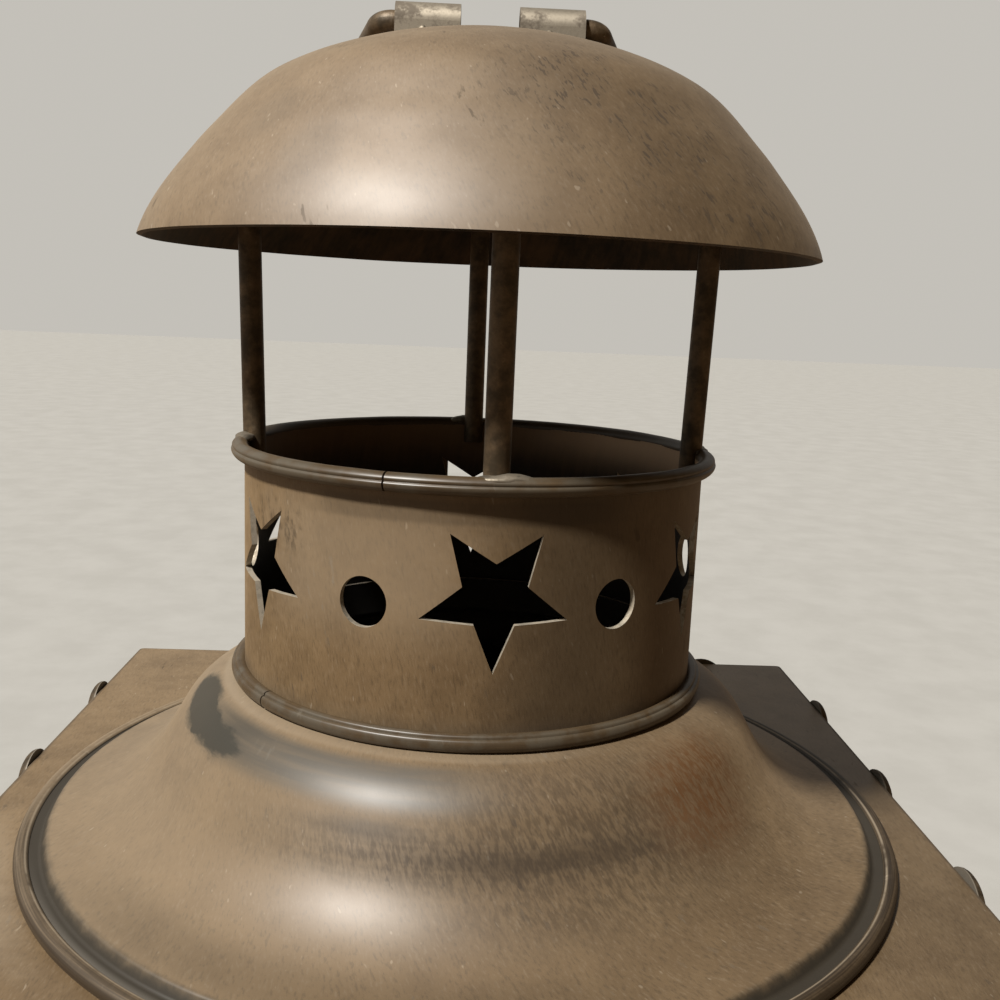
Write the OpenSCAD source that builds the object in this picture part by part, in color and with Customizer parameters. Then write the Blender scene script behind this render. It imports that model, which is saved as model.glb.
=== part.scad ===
// Metal candle lantern: square glazed casing, bell roof, pierced chimney, domed cap and folding bail.
// Frame: +Z up, -Y is the front (door side), +X is right seen from the front.
// The origin is on the floor under the axis. Units are millimetres.

/* [Roof] */
// Side of the square roof plate
roof_side = 171.4; // [150:0.2:200]
// Thickness of the roof sheet
roof_sheet = 0.9; // [0.6:0.1:1.5]
// Depth of the turned-down roof edge
roof_skirt = 16; // [10:0.5:24]
// Radius of the outer corners of roof and plinth
edge_corner = 2; // [1:0.5:6]
// Radius of the smoke hole in the roof plate
vent_radius = 36; // [24:0.5:38]

/* [Studs] */
// Studs on each side of the roof
studs_per_side = 4; // [2:1:5]
// Spacing of the studs
stud_pitch = 39.8; // [24:0.1:44]
// Distance of the first stud from the rear edge
stud_rear_margin = 30.4; // [22:0.1:36]
// Radius of a stud head
stud_radius = 7.5; // [4:0.1:8]
// Height of a stud head
stud_height = 3.4; // [1.5:0.1:4.5]
// Squareness of the stud dome: 1 is a plain ellipse, less is squarer
stud_square = 0.65; // [0.5:0.05:1]
// Depth of the stud centre below the roof surface
stud_drop = 5.6; // [5:0.1:10]
// Radius of a stud shank
stud_shank = 1.6; // [1:0.1:2.5]
// Length of shank peened over behind the roof edge
stud_tail = 0.8; // [0.4:0.1:1.5]

/* [Bell] */
// Sheet thickness of the bell
bell_sheet = 0.7; // [0.5:0.05:1.2]
// Radius of the convex shoulder of the bell
bell_shoulder = 13.3; // [10:0.1:16]
// Slope of the bell at its shoulder start
bell_start_slope = 8; // [2:0.5:14]
// Steepest slope of the bell
bell_slope = 60; // [54:0.5:64]
// Length of the straight part of the bell
bell_straight = 6.15; // [4:0.05:8]
// Radius of the concave foot of the bell
bell_cove = 24; // [20:0.1:30]
// Slope of the bell where it meets the channel
bell_end_slope = 14; // [10:0.5:18]
// Length of the straight flange between the concave foot and the channel
bell_flange = 4; // [2:0.1:6]
// Height of the end of the flange above the roof
bell_lip = 3.5; // [2.6:0.1:3.6]
// Width of the sunk channel between the flange and the rim roll
bell_channel = 2.5; // [2:0.1:3.2]
// Height of the floor of the channel above the roof
channel_height = 1.8; // [1.6:0.1:2]
// Radius of the rolled and wired rim of the bell
bell_roll = 1.3; // [1.25:0.05:1.5]
// Height of the neck that the collar slips over
neck_height = 6; // [3:0.5:8]
// Width of the flat ledge that the collar stands on
neck_ledge = 1.7; // [1.6:0.1:2.4]

/* [Collar] */
// Outer radius of the pierced collar
collar_radius = 40; // [38.6:0.1:44]
// Sheet thickness of the collar
collar_sheet = 0.65; // [0.5:0.05:0.9]
// Height of the collar from its seat to the top of the rim
collar_height = 41.1; // [38:0.1:50]
// Radius of the wired beads at both ends of the collar
bead_radius = 1.45; // [1.2:0.05:1.8]
// Clearance round the wires inside the beads and the roll
wire_clear = 0.05; // [0.02:0.01:0.1]
// How far a bead or roll is dressed flat where it sits
dressed_flat = 0.12; // [0.08:0.01:0.2]
// Where each star is punched round the collar, from the front to the right
star_turns = [4.6, 62, 121, 179.5, 241, 302];
// Where each round hole is punched round the collar, from the front to the right
hole_turns = [33, 92, 151, 210, 271, 336];
// Tip radius of a star
star_tip = 11.6; // [8:0.1:12.5]
// Radius of the inner corners of a star
star_inner = 5.1; // [3.5:0.1:6]
// Height of the star centre above the collar seat
star_height = 23.2; // [18:0.1:26]
// Diameter of the round holes
hole_diameter = 7.8; // [4:0.1:9]
// Height of the round holes above the collar seat
hole_height = 21.2; // [14:0.1:26]
// Width of the lap seam of the collar, in degrees
seam_angle = 8; // [5:0.5:12]
// Where the lap seam starts round the collar, from the front to the right
seam_turn = 195.5; // [194:0.5:197]
// Clearance between neck and collar
neck_clear = 0.05; // [0.02:0.01:0.1]

/* [Posts] */
// Radius of a cap post
post_radius = 1.95; // [1.4:0.05:2.4]
// Distance of a post axis inside the outer face of the collar
post_inset = 1.1; // [0.6:0.1:2]
// Outward lean of the posts
post_lean = 1.4; // [0:0.1:2.5]
// Length of post that laps inside the collar rim
post_lap = 5; // [3:0.1:7]
// Height of the cap edge above the collar rim
cap_lift = 32.8; // [24:0.1:44]
// Where each post stands round the rim, from the front to the right
post_turns = [4, 91, 180, 271];

/* [Cap] */
// Sheet thickness of the cap
cap_sheet = 0.8; // [0.6:0.05:1.2]
// Radius of the crown of the cap
crown_radius = 80; // [70:0.5:95]
// Half angle of the crown
crown_angle = 22; // [18:0.5:26]
// Radius of the cap between crown and edge
haunch_radius = 46; // [43:0.2:52]
// Slope of the cap at its edge
edge_slope = 72.5; // [66:0.5:78]

/* [Bail] */
// Diameter of the bail wire
bail_wire = 4; // [3:0.1:4.4]
// Height of the bail axis above the crown
pivot_rise = 1.95; // [1.8:0.05:2.6]
// Length of a handle sleeve
sleeve_length = 10.8; // [8:0.1:12]
// Gap between the two sleeves
sleeve_gap = 9.8; // [8:0.1:12]
// Wall of a sleeve
sleeve_wall = 1; // [0.7:0.05:1.3]
// Clearance round the wire in a sleeve
sleeve_clear = 0.35; // [0.3:0.01:0.5]
// Length of wire inside a sleeve
bail_grip = 9; // [6:0.1:9.5]
// Clearance between the sleeve end and the first bend
bail_end_clear = 0.4; // [0.3:0.05:0.8]
// Centre-line radius of the first bend
bail_bend = 2.8; // [2.6:0.1:4]
// Outward lean of the bail legs
bail_lean = 20; // [14:0.5:24]
// Length of a straight bail leg
bail_leg = 26; // [20:0.5:30]
// How far the resting bail lies below level
bail_rest = 15.4; // [8:0.1:15.5]
// How much the straight wire is drawn down beside the bends
bail_draw = 0.02; // [0.01:0.01:0.05]

/* [Casing] */
// Side of the square casing over the corner strips
casing_side = 152; // [140:0.5:156]
// Height of the casing from plinth to roof
casing_height = 200; // [180:0.5:260]
// Thickness of the wall panels
panel_sheet = 0.9; // [0.7:0.05:1.3]
// Thickness of the corner strips
strip_sheet = 1; // [0.7:0.05:1.3]
// Width of each leg of a corner strip
strip_leg = 12; // [9:0.1:12]
// Width of the side and rear windows
window_width = 112; // [90:0.5:116]
// Height of the side and rear windows
window_height = 140; // [110:0.5:150]
// Corner radius of the windows
window_corner = 6; // [3:0.5:10]
// Thickness of the glass
glass = 2; // [1.6:0.1:3]
// How far a pane laps behind its window
pane_lap = 6; // [4:0.2:7]
// Sheet thickness of the pane clips
clip_sheet = 0.8; // [0.6:0.05:1]
// Width of a pane clip
clip_width = 6; // [4:0.5:9]
// Length of a clip foot
clip_foot = 6; // [4:0.2:7]
// Length of a clip finger over the glass
clip_finger = 4.5; // [3:0.2:5]
// Clearance between a pane edge and its clips
clip_clear = 0.4; // [0.2:0.05:0.8]
// Spacing of the two clips on an edge
clip_spacing = 60; // [40:1:80]

/* [Plinth] */
// Sheet thickness of the plinth
plinth_sheet = 1; // [0.8:0.05:1.5]
// Depth of the turned-down plinth edge
plinth_skirt = 15; // [10:0.5:20]
// Height of the feet below the plinth edge
foot_height = 9; // [6:0.5:14]
// Radius of a foot
foot_radius = 8; // [6:0.2:9]
// Radius of a foot stem
foot_stem = 6; // [4:0.2:6]
// Distance of a foot from each middle line
foot_offset = 66; // [56:0.5:68]
// Shank radius of the foot rivets
foot_rivet = 1.6; // [1.2:0.1:2]

/* [Candle holder] */
// Radius of the drip pan
pan_radius = 42; // [34:0.5:50]
// Height of the drip pan rim
pan_rim = 7; // [4:0.5:10]
// Outward flare of the drip pan rim
pan_flare = 4; // [2:0.5:6]
// Sheet thickness of the drip pan and socket
pan_sheet = 0.9; // [0.7:0.05:1.2]
// Bore of the candle socket
socket_bore = 22.8; // [20:0.1:26]
// Height of the candle socket
socket_height = 26; // [18:0.5:34]
// Shank radius of the rivet in the socket floor
pan_rivet_radius = 2; // [1.5:0.1:2.6]

/* [Door] */
// Distance of each upright door edge from the side of the casing
door_side_margin = 14; // [14:0.1:20]
// Distance of the door from the plinth and from the roof edge
door_end_margin = 5.45; // [3:0.05:20]
// Depth of the door from front face to rear edge
door_depth = 6.2; // [5.8:0.1:7]
// Sheet thickness of the door
door_sheet = 0.9; // [0.7:0.05:1.2]
// Gap between the door and the front panel
door_gap = 0.4; // [0.35:0.05:0.8]
// How far the door laps over its opening
door_lap = 8; // [6:0.2:9]
// Width of the rim round the door window
door_rim = 16; // [15:0.2:22]
// Radius of the door knob
knob_radius = 5; // [3.5:0.1:6]
// Height of the door knob
knob_height = 6.2; // [4:0.1:6.5]
// Distance of the knob from the free edge of the door
knob_inset = 7.5; // [6.5:0.1:9]
// Shank radius of the knob
knob_shank = 1.5; // [1:0.1:2]
// Height of the door catch
catch_height = 12; // [8:0.5:16]
// Gap between the nib of the catch and the door
catch_gap = 0.45; // [0.4:0.05:0.8]
// Sheet thickness of the catch
catch_sheet = 0.8; // [0.5:0.05:0.8]
// How far the catch stands out in front of the corner strip
catch_rise = 4.6; // [4:0.1:5]
// Depth of the bent nib of the catch
catch_nib = 1.2; // [0.8:0.1:1.4]

/* [Hinges] */
// Outer radius of a hinge barrel
barrel_radius = 3; // [2.8:0.1:3]
// Radius of a hinge pin
hinge_pin = 1.5; // [1.2:0.05:1.6]
// Running clearance of the door knuckle on its pin
hinge_clear = 0.06; // [0.03:0.01:0.1]
// Length of a hinge
hinge_length = 36; // [26:0.5:48]
// Gap between two knuckles
knuckle_gap = 0.35; // [0.3:0.05:0.6]
// Thickness of a hinge leaf
leaf_sheet = 1; // [0.7:0.05:1.1]
// Margin between a fixed leaf and the corner of the casing
leaf_margin = 0.5; // [0.3:0.1:1]
// Width of a moving leaf on the door face
leaf_width = 11.2; // [8:0.1:13]
// Distance of each hinge from the middle of the door
hinge_offset = 56; // [40:0.5:64]
// Gap between the barrels and the door edge
barrel_gap = 0.4; // [0.35:0.05:0.6]
// Shank radius of the hinge rivets
hinge_rivet = 1; // [0.8:0.05:1.3]

/* [Hidden] */
$fn = 64;
eps = 0.01;
inner_ease = 0.2;

// Stack of heights
plinth_top = foot_height + plinth_skirt;
roof_under = plinth_top + casing_height;
roof_top = roof_under + roof_sheet;
roof_half = roof_side / 2;
stud_step = 90 / 8;
skirt_bottom = roof_top - roof_skirt;
casing_half = casing_side / 2;
panel_out = casing_half - strip_sheet;
panel_in = panel_out - panel_sheet;
window_mid = (plinth_top + skirt_bottom) / 2;

// Bell profile
neck_radius = collar_radius - collar_sheet - neck_clear;
bell_start = collar_radius + neck_ledge - bead_radius / 2;
bell_run_1 = bell_shoulder * (sin(bell_slope) - sin(bell_start_slope));
bell_drop_1 = bell_shoulder * (cos(bell_start_slope) - cos(bell_slope));
bell_run_2 = bell_straight * cos(bell_slope);
bell_drop_2 = bell_straight * sin(bell_slope);
bell_run_3 = bell_cove * (sin(bell_slope) - sin(bell_end_slope));
bell_drop_3 = bell_cove * (cos(bell_end_slope) - cos(bell_slope));
bell_run_4 = bell_flange * cos(bell_end_slope);
bell_drop_4 = bell_flange * sin(bell_end_slope);
cove_end = bell_start + bell_run_1 + bell_run_2 + bell_run_3;
bell_end = cove_end + bell_run_4;
collar_seat = roof_top + bell_lip + bell_drop_1 + bell_drop_2 + bell_drop_3 + bell_drop_4;
channel_top = roof_top + channel_height;
channel_start = bell_end + (bell_lip - channel_height) / tan(bell_slope);
roll_centre = bell_end + bell_channel + bell_roll;
roll_height = roof_top + bell_roll - dressed_flat;
roll_wire = bell_roll - bell_sheet;

// Collar and posts
collar_inner = collar_radius - collar_sheet;
bead_centre = collar_inner + bead_radius;
bead_low = collar_seat + bead_radius - dressed_flat;
collar_top = collar_seat + collar_height;
bead_high = collar_top - bead_radius;
bead_wire = bead_radius - collar_sheet;
seam_trim = (bead_wire + bead_radius) / 2;
post_circle = collar_radius - post_inset;

// Cap
cap_edge = collar_top + cap_lift;
cap_radius = crown_radius * sin(crown_angle) + haunch_radius * (sin(edge_slope) - sin(crown_angle));
cap_height = crown_radius * (1 - cos(crown_angle)) + haunch_radius * (cos(crown_angle) - cos(edge_slope));
crown_top = cap_edge + cap_height;
haunch_step = (edge_slope - crown_angle) / 9;

// Bail
pivot_height = crown_top + pivot_rise;
wire_radius = bail_wire / 2;
sleeve_bore = wire_radius + sleeve_clear;
sleeve_radius = sleeve_bore + sleeve_wall;
sleeve_end = sleeve_gap / 2 + sleeve_length;
bend_start = sleeve_end + bail_end_clear;
leg_x = bend_start + bail_bend * cos(bail_lean);
leg_w = bail_bend * (1 - sin(bail_lean));
arch_x = leg_x + bail_leg * sin(bail_lean);
arch_radius = arch_x / cos(bail_lean);
arch_w = leg_w + bail_leg * cos(bail_lean) + arch_radius * sin(bail_lean);

// Door, fitted between the corner strips, the plinth and the roof edge
door_width = casing_side - 2 * door_side_margin;
door_height = skirt_bottom - plinth_top - 2 * door_end_margin;
door_half = door_width / 2;
door_back = panel_out + door_gap;
door_front = door_back + door_depth;
door_window_w = door_width - 2 * door_rim;
door_window_h = door_height - 2 * door_rim;
hinge_x = -(door_half + barrel_gap + barrel_radius);
hinge_y = -(casing_half + barrel_gap + barrel_radius);
knuckle = (hinge_length - 2 * knuckle_gap) / 3;
frame_rivet_x = -(casing_half - strip_leg / 3);
door_rivet_x = -(door_half - leaf_width / 2);
leaf_edge = hinge_x - barrel_radius - knuckle_gap;

// Points of an arc round (cx, cy) from angle a to angle b in n steps
function arc(cx, cy, r, a, b, n) =
  [for (i = [0 : n]) let (t = a + (b - a) * i / n) [cx + r * cos(t), cy + r * sin(t)]];
function backwards(v) = [for (i = [len(v) - 1 : -1 : 0]) v[i]];

// Corner at (x, z) between a stretch of slope a and one of slope b, offset inwards by t
function bend(x, z, a, b, t) =
  let (m = (a + b) / 2, d = t / cos((a - b) / 2)) [x - d * sin(m), z - d * cos(m)];

// Points on the outer face of the bell, offset inwards by t along the surface normal
function bell_points(t) = concat(
  arc(bell_start - bell_shoulder * sin(bell_start_slope),
    collar_seat - bell_shoulder * cos(bell_start_slope),
    bell_shoulder - t, 90 - bell_start_slope, 90 - bell_slope, 9),
  arc(cove_end + bell_cove * sin(bell_end_slope),
    roof_top + bell_lip + bell_drop_4 + bell_cove * cos(bell_end_slope),
    bell_cove + t, 270 - bell_slope, 270 - bell_end_slope, 9),
  [bend(bell_end, roof_top + bell_lip, bell_end_slope, bell_slope, t),
    bend(channel_start, channel_top, bell_slope, 0, t)]);

// Points on the cap from the axis to the edge, offset inwards by t
function cap_points(t) = concat(
  arc(0, crown_top - crown_radius, crown_radius - t, 90, 90 - crown_angle, 6),
  arc((crown_radius - haunch_radius) * sin(crown_angle),
    crown_top - crown_radius + (crown_radius - haunch_radius) * cos(crown_angle),
    haunch_radius - t, 90 - crown_angle - haunch_step, 90 - edge_slope, 9));

module rounded(w, d, r) {
  square([w - 2 * r, d], center = true);
  square([w, d - 2 * r], center = true);
  for (x = [-1, 1], y = [-1, 1]) translate([x * (w / 2 - r), y * (d / 2 - r)]) circle(r = r, $fn = 32);
}

// Round rivet or stud head of radius a and height h on the plane z = 0
module head(a, h) {
  R = (a * a + h * h) / (2 * h);
  edge = acos(min(1, a / R)) * (h <= a ? 1 : -1);
  rotate_extrude() polygon(concat([[0, 0]], arc(0, h - R, R, edge, 90, 7)));
}

// Turned-down sheet lid: flat top at z = 0 and edges hanging down
module sheet_lid(side, sheet, skirt) {
  inner = side - 2 * sheet;
  difference() {
    translate([0, 0, -skirt]) linear_extrude(skirt) rounded(side, side, edge_corner);
    translate([0, 0, -skirt - 1]) linear_extrude(skirt - sheet + 1)
      rounded(inner, inner, edge_corner - sheet + inner_ease);
  }
}

module foot_places() {
  for (x = [-1, 1], y = [-1, 1]) translate([x * foot_offset, y * foot_offset, 0]) children();
}

// Plinth: folded sheet lid with the skirt down, bored for the foot and pan rivets
module plinth() {
  color("#5d4a38") difference() {
    translate([0, 0, plinth_top]) sheet_lid(roof_side, plinth_sheet, plinth_skirt);
    translate([0, 0, plinth_top - 2 * plinth_sheet]) {
      foot_places() cylinder(h = 4 * plinth_sheet, r = foot_rivet);
      cylinder(h = 4 * plinth_sheet, r = pan_rivet_radius);
    }
  }
}

// Turned feet: a bun below the plinth edge and a stem up to the plate
module feet() {
  under = plinth_top - plinth_sheet;
  color("#4a3c2e") foot_places() difference() {
    rotate_extrude() polygon(concat([[0, 0]],
      arc(foot_radius - foot_height / 2, foot_height / 2, foot_height / 2, -90, 60, 9),
      [[foot_stem, foot_height + 0.4], [foot_stem, under], [0, under]]));
    translate([0, 0, under / 2]) cylinder(h = under, r = foot_rivet);
  }
}

module foot_rivets() {
  low = (plinth_top - plinth_sheet) / 2;
  color("#6b5a48") foot_places() {
    translate([0, 0, plinth_top]) head(foot_rivet * 2, foot_rivet);
    translate([0, 0, low]) cylinder(h = plinth_top - low + eps, r = foot_rivet);
  }
}

// Spun drip pan with a flared rim
module candle_pan() {
  color("#5d4a38") translate([0, 0, plinth_top]) difference() {
    rotate_extrude() polygon([[0, 0], [pan_radius - pan_flare, 0], [pan_radius, pan_rim],
      [pan_radius - pan_sheet, pan_rim], [pan_radius - pan_flare - pan_sheet / 2, pan_sheet],
      [0, pan_sheet]]);
    translate([0, 0, -1]) cylinder(h = pan_sheet + 2, r = pan_rivet_radius);
  }
}

// Candle socket: a cup with a countersunk floor, riveted to the pan
module candle_socket() {
  color("#5d4a38") translate([0, 0, plinth_top + pan_sheet]) difference() {
    cylinder(h = socket_height, r = socket_bore / 2 + pan_sheet);
    translate([0, 0, pan_sheet]) cylinder(h = socket_height, r = socket_bore / 2);
    cylinder(h = pan_sheet, r1 = pan_rivet_radius, r2 = pan_rivet_radius + pan_sheet);
  }
}

// Rivet through plinth, pan and socket: flush inside the socket, domed below the plinth
module pan_rivet() {
  top = plinth_top + 2 * pan_sheet;
  low = plinth_top - plinth_sheet;
  wide = pan_rivet_radius + pan_sheet;
  dome = [for (p = arc(0, low, pan_rivet_radius, -90, 0, 7)) [p[0] * 2, p[1]]];
  color("#6b5a48") rotate_extrude() polygon(concat(dome, [[pan_rivet_radius, low],
    [pan_rivet_radius, top - pan_sheet], [wide, top], [0, top]]));
}

// Glazed wall panel at the rear; the side panels are the same turned about the axis
module wall(half) {
  color("#6a543e") difference() {
    translate([-half, panel_in, plinth_top]) cube([2 * half, panel_sheet, casing_height]);
    translate([0, panel_in - 1, window_mid]) rotate([-90, 0, 0]) linear_extrude(panel_sheet + 2)
      rounded(window_width, window_height, window_corner);
  }
}

module wall_left() {
  rotate([0, 0, 90]) wall(panel_out);
}

module wall_right() {
  rotate([0, 0, -90]) wall(panel_out);
}

module wall_back() {
  wall(panel_in);
}

module hinge_places() {
  for (s = [-1, 1]) translate([0, 0, window_mid + s * hinge_offset]) children();
}

// Front panel with the door opening and the frame rivet bores
module front_panel() {
  color("#6a543e") difference() {
    translate([-panel_in, -panel_out, plinth_top]) cube([2 * panel_in, panel_sheet, casing_height]);
    translate([0, -panel_in + 1, window_mid]) rotate([90, 0, 0]) linear_extrude(panel_sheet + 2)
      rounded(door_width - 2 * door_lap, door_height - 2 * door_lap, window_corner);
    frame_rivet_bores();
  }
}

module frame_rivet_bores() {
  hinge_places() for (s = [-1, 1]) translate([frame_rivet_x, -panel_in + 1, s * hinge_length / 3])
    rotate([90, 0, 0]) cylinder(h = casing_half - panel_in + leaf_sheet + 2, r = hinge_rivet);
}

module door_rivet_bores() {
  hinge_places() for (s = [-1, 1])
    translate([door_rivet_x, -door_front + door_sheet + 1, s * hinge_length / 3])
      rotate([90, 0, 0]) cylinder(h = door_sheet + leaf_sheet + 2, r = hinge_rivet);
}

// Angle strips over the four upright corners
module corner_strips() {
  leg_end = casing_half - strip_leg;
  color("#57452f") difference() {
    for (a = [0 : 90 : 270]) rotate([0, 0, a]) translate([0, 0, plinth_top]) linear_extrude(casing_height)
      polygon([[casing_half, casing_half], [leg_end, casing_half], [leg_end, panel_out],
        [panel_out, panel_out], [panel_out, leg_end], [casing_half, leg_end]]);
    frame_rivet_bores();
  }
}

// Glass of width w and height h with its low y face at depth y
module sheet_glass(w, h, y) {
  color("#cfe0dc", 0.35) translate([-w / 2, y, window_mid - h / 2]) cube([w, glass, h]);
}

module pane() {
  sheet_glass(window_width + 2 * pane_lap, window_height + 2 * pane_lap, panel_in - glass);
}

module pane_left() {
  rotate([0, 0, 90]) pane();
}

module pane_right() {
  rotate([0, 0, -90]) pane();
}

module pane_back() {
  pane();
}

// Bent clip: foot on the sheet at y = 0, finger over the glass, whose edge lies at x = 0
module clip() {
  top = glass + clip_sheet;
  foot_end = clip_clear + clip_foot;
  riser = clip_clear + clip_sheet;
  translate([0, 0, -clip_width / 2]) linear_extrude(clip_width)
    polygon([[foot_end, 0], [foot_end, clip_sheet], [riser, clip_sheet], [riser, top],
      [-clip_finger, top], [-clip_finger, glass], [clip_clear, glass], [clip_clear, 0]]);
}

// Four clips on the upper and lower edges of a pane of height h behind a sheet at depth y
module clips(h, y) {
  for (x = [-1, 1]) {
    translate([x * clip_spacing / 2, y, window_mid + h / 2]) rotate([0, -90, 180]) clip();
    translate([x * clip_spacing / 2, y, window_mid - h / 2]) rotate([0, 90, 180]) clip();
  }
}

module pane_clips() {
  color("#8a7a66") for (a = [0, 90, -90]) rotate([0, 0, a]) clips(window_height + 2 * pane_lap, panel_in);
}

// Door: a folded pan with a window, rear edges turned back to the front panel
module door_frame() {
  color("#6a543e") difference() {
    translate([0, -door_back, window_mid]) rotate([90, 0, 0]) linear_extrude(door_depth)
      rounded(door_width, door_height, edge_corner);
    translate([0, -door_back + 1, window_mid]) rotate([90, 0, 0])
      linear_extrude(door_depth - door_sheet + 1) rounded(door_width - 2 * door_sheet, door_height - 2 * door_sheet,
        edge_corner - door_sheet + inner_ease);
    translate([0, -door_back, window_mid]) rotate([90, 0, 0]) linear_extrude(door_depth + 1)
      rounded(door_window_w, door_window_h, window_corner);
    door_rivet_bores();
    translate([door_half - knob_inset, -door_back, window_mid]) rotate([90, 0, 0])
      cylinder(h = door_depth + 1, r = knob_shank);
  }
}

module door_pane() {
  sheet_glass(door_window_w + 2 * pane_lap, door_window_h + 2 * pane_lap, -door_front + door_sheet);
}

module door_clips() {
  color("#8a7a66") rotate([0, 0, 180]) clips(door_window_h + 2 * pane_lap, door_front - door_sheet);
}

// Mushroom knob with a riveted shank
module door_knob() {
  color("#8a7146") translate([door_half - knob_inset, -door_front, window_mid]) rotate([90, 0, 0]) {
    rotate_extrude() polygon(concat([[0, 0], [knob_radius * 0.55, 0], [knob_radius * 0.4, knob_height * 0.4]],
      arc(0, knob_height * 0.5, knob_radius, -8, 8, 3),
      arc(knob_radius * 0.55, knob_height - knob_radius * 0.42, knob_radius * 0.42, 20, 90, 5),
      [[0, knob_height]]));
    translate([0, 0, -door_sheet - knob_shank]) cylinder(h = door_sheet + knob_shank + eps, r = knob_shank);
    translate([0, 0, -door_sheet]) rotate([180, 0, 0]) head(knob_shank * 1.7, knob_shank);
  }
}

// Sprung catch: a foot on the corner strip and a leaf with a bent nib beside the free edge of the door
module door_catch() {
  nib = door_half + catch_gap;
  leaf = nib + catch_nib;
  foot_end = casing_half - strip_sheet;
  color("#8a7a66") translate([0, -casing_half, window_mid - catch_height / 2]) linear_extrude(catch_height)
    polygon([[foot_end, 0], [leaf, 0], [leaf, -catch_rise * 0.5], [nib, -catch_rise * 0.75],
      [leaf, -catch_rise], [leaf + catch_sheet, -catch_rise], [nib + catch_sheet, -catch_rise * 0.75],
      [leaf + catch_sheet, -catch_rise * 0.5], [leaf + catch_sheet, -catch_sheet], [foot_end, -catch_sheet]]);
}

module barrel(z, h, bore) {
  translate([hinge_x, hinge_y, z]) difference() {
    cylinder(h = h, r = barrel_radius);
    translate([0, 0, -1]) cylinder(h = h + 2, r = bore);
  }
}

// Fixed hinge leaves on the left corner strip, each with an upper and a lower knuckle
module frame_leaves() {
  color("#7d6a50") difference() {
    hinge_places() {
      for (z = [-hinge_length / 2, hinge_length / 2 - knuckle]) {
        barrel(z, knuckle, hinge_pin);
        difference() {
          translate([leaf_edge - eps, -casing_half - leaf_sheet, z])
            cube([hinge_x - leaf_edge + eps, leaf_sheet, knuckle]);
          translate([hinge_x, hinge_y, z - 1]) cylinder(h = knuckle + 2, r = barrel_radius - barrel_gap);
        }
      }
      translate([-casing_half + leaf_margin, -casing_half - leaf_sheet, -hinge_length / 2])
        cube([leaf_edge + casing_half - leaf_margin, leaf_sheet, hinge_length]);
    }
    frame_rivet_bores();
  }
}

// Moving hinge leaves on the door face, each with a middle knuckle
module door_leaves() {
  color("#7d6a50") difference() {
    hinge_places() {
      barrel(-knuckle / 2, knuckle, hinge_pin + hinge_clear);
      difference() {
        translate([hinge_x, -door_front - leaf_sheet, -knuckle / 2])
          cube([-door_half - hinge_x + eps, leaf_sheet, knuckle]);
        translate([hinge_x, hinge_y, -knuckle])
          cylinder(h = 2 * knuckle, r = (barrel_radius + hinge_pin) / 2);
      }
      translate([-door_half, -door_front - leaf_sheet, -hinge_length / 2])
        cube([leaf_width, leaf_sheet, hinge_length]);
    }
    door_rivet_bores();
  }
}

module hinge_pins() {
  color("#8a7a66") hinge_places() translate([hinge_x, hinge_y, 0]) {
    translate([0, 0, -hinge_length / 2]) cylinder(h = hinge_length + eps, r = hinge_pin);
    translate([0, 0, hinge_length / 2]) head(hinge_pin * 1.7, hinge_pin);
  }
}

// Four hinge rivets at x, with heads on the plane y and shanks of the given depth behind it
module leaf_rivets(x, y, depth) {
  color("#8a7a66") hinge_places() for (s = [-1, 1])
    translate([x, y, s * hinge_length / 3]) rotate([90, 0, 0]) {
      head(hinge_rivet * 1.9, hinge_rivet * 0.9);
      translate([0, 0, -depth]) cylinder(h = depth + eps, r = hinge_rivet);
    }
}

module frame_rivets() {
  leaf_rivets(frame_rivet_x, -casing_half - leaf_sheet, casing_half + leaf_sheet - panel_in);
}

module door_rivets() {
  leaf_rivets(door_rivet_x, -door_front - leaf_sheet, door_sheet + leaf_sheet);
}

module stud_places() {
  for (a = [0 : 90 : 270], i = [0 : studs_per_side - 1]) {
    along = roof_half - stud_rear_margin - i * stud_pitch;
    rotate([0, 0, a]) translate([roof_half, a == 180 ? -along : along, roof_top - stud_drop])
      rotate([0, 90, 0]) children();
  }
}

// Flat square roof plate with turned-down edges, a smoke hole and the stud bores
module roof() {
  color("#6a543e") difference() {
    translate([0, 0, roof_top]) sheet_lid(roof_side, roof_sheet, roof_skirt);
    translate([0, 0, roof_under - 1]) cylinder(h = roof_sheet + 2, r = vent_radius);
    stud_places() translate([0, 0, -2 * roof_sheet]) cylinder(h = 3 * roof_sheet, r = stud_shank);
  }
}

module roof_studs() {
  color("#57452f") stud_places() {
    rotate_extrude() polygon(concat([[0, 0]], [for (t = [0 : stud_step : 90])
      [stud_radius * pow(cos(t), stud_square), stud_height * pow(sin(t), stud_square)]]));
    translate([0, 0, -roof_sheet - stud_tail]) cylinder(h = roof_sheet + stud_tail + eps, r = stud_shank);
  }
}

// Ogee bell: neck for the collar, convex shoulder, concave foot, sunk channel and a rim rolled round a wire
module bell() {
  flat = acos(1 - dressed_flat / bell_roll);
  above = asin((channel_top - roll_height) / bell_roll);
  below = asin((channel_top - bell_sheet - roll_height) / bell_roll);
  color("#6a543e") difference() {
    rotate_extrude() polygon(concat([[neck_radius - bell_sheet, collar_seat + neck_height],
      [neck_radius, collar_seat + neck_height], [neck_radius, collar_seat]], bell_points(0),
      arc(roll_centre, roll_height, bell_roll, 180 - above, -90 + flat, 18),
      arc(roll_centre, roll_height, bell_roll, 270 - flat, 180 - below, 5),
      backwards(bell_points(bell_sheet)), [[neck_radius - bell_sheet, collar_seat - bell_sheet]]));
    rotate_extrude() translate([roll_centre, roll_height]) circle(r = roll_wire, $fn = 32);
  }
}

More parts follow.
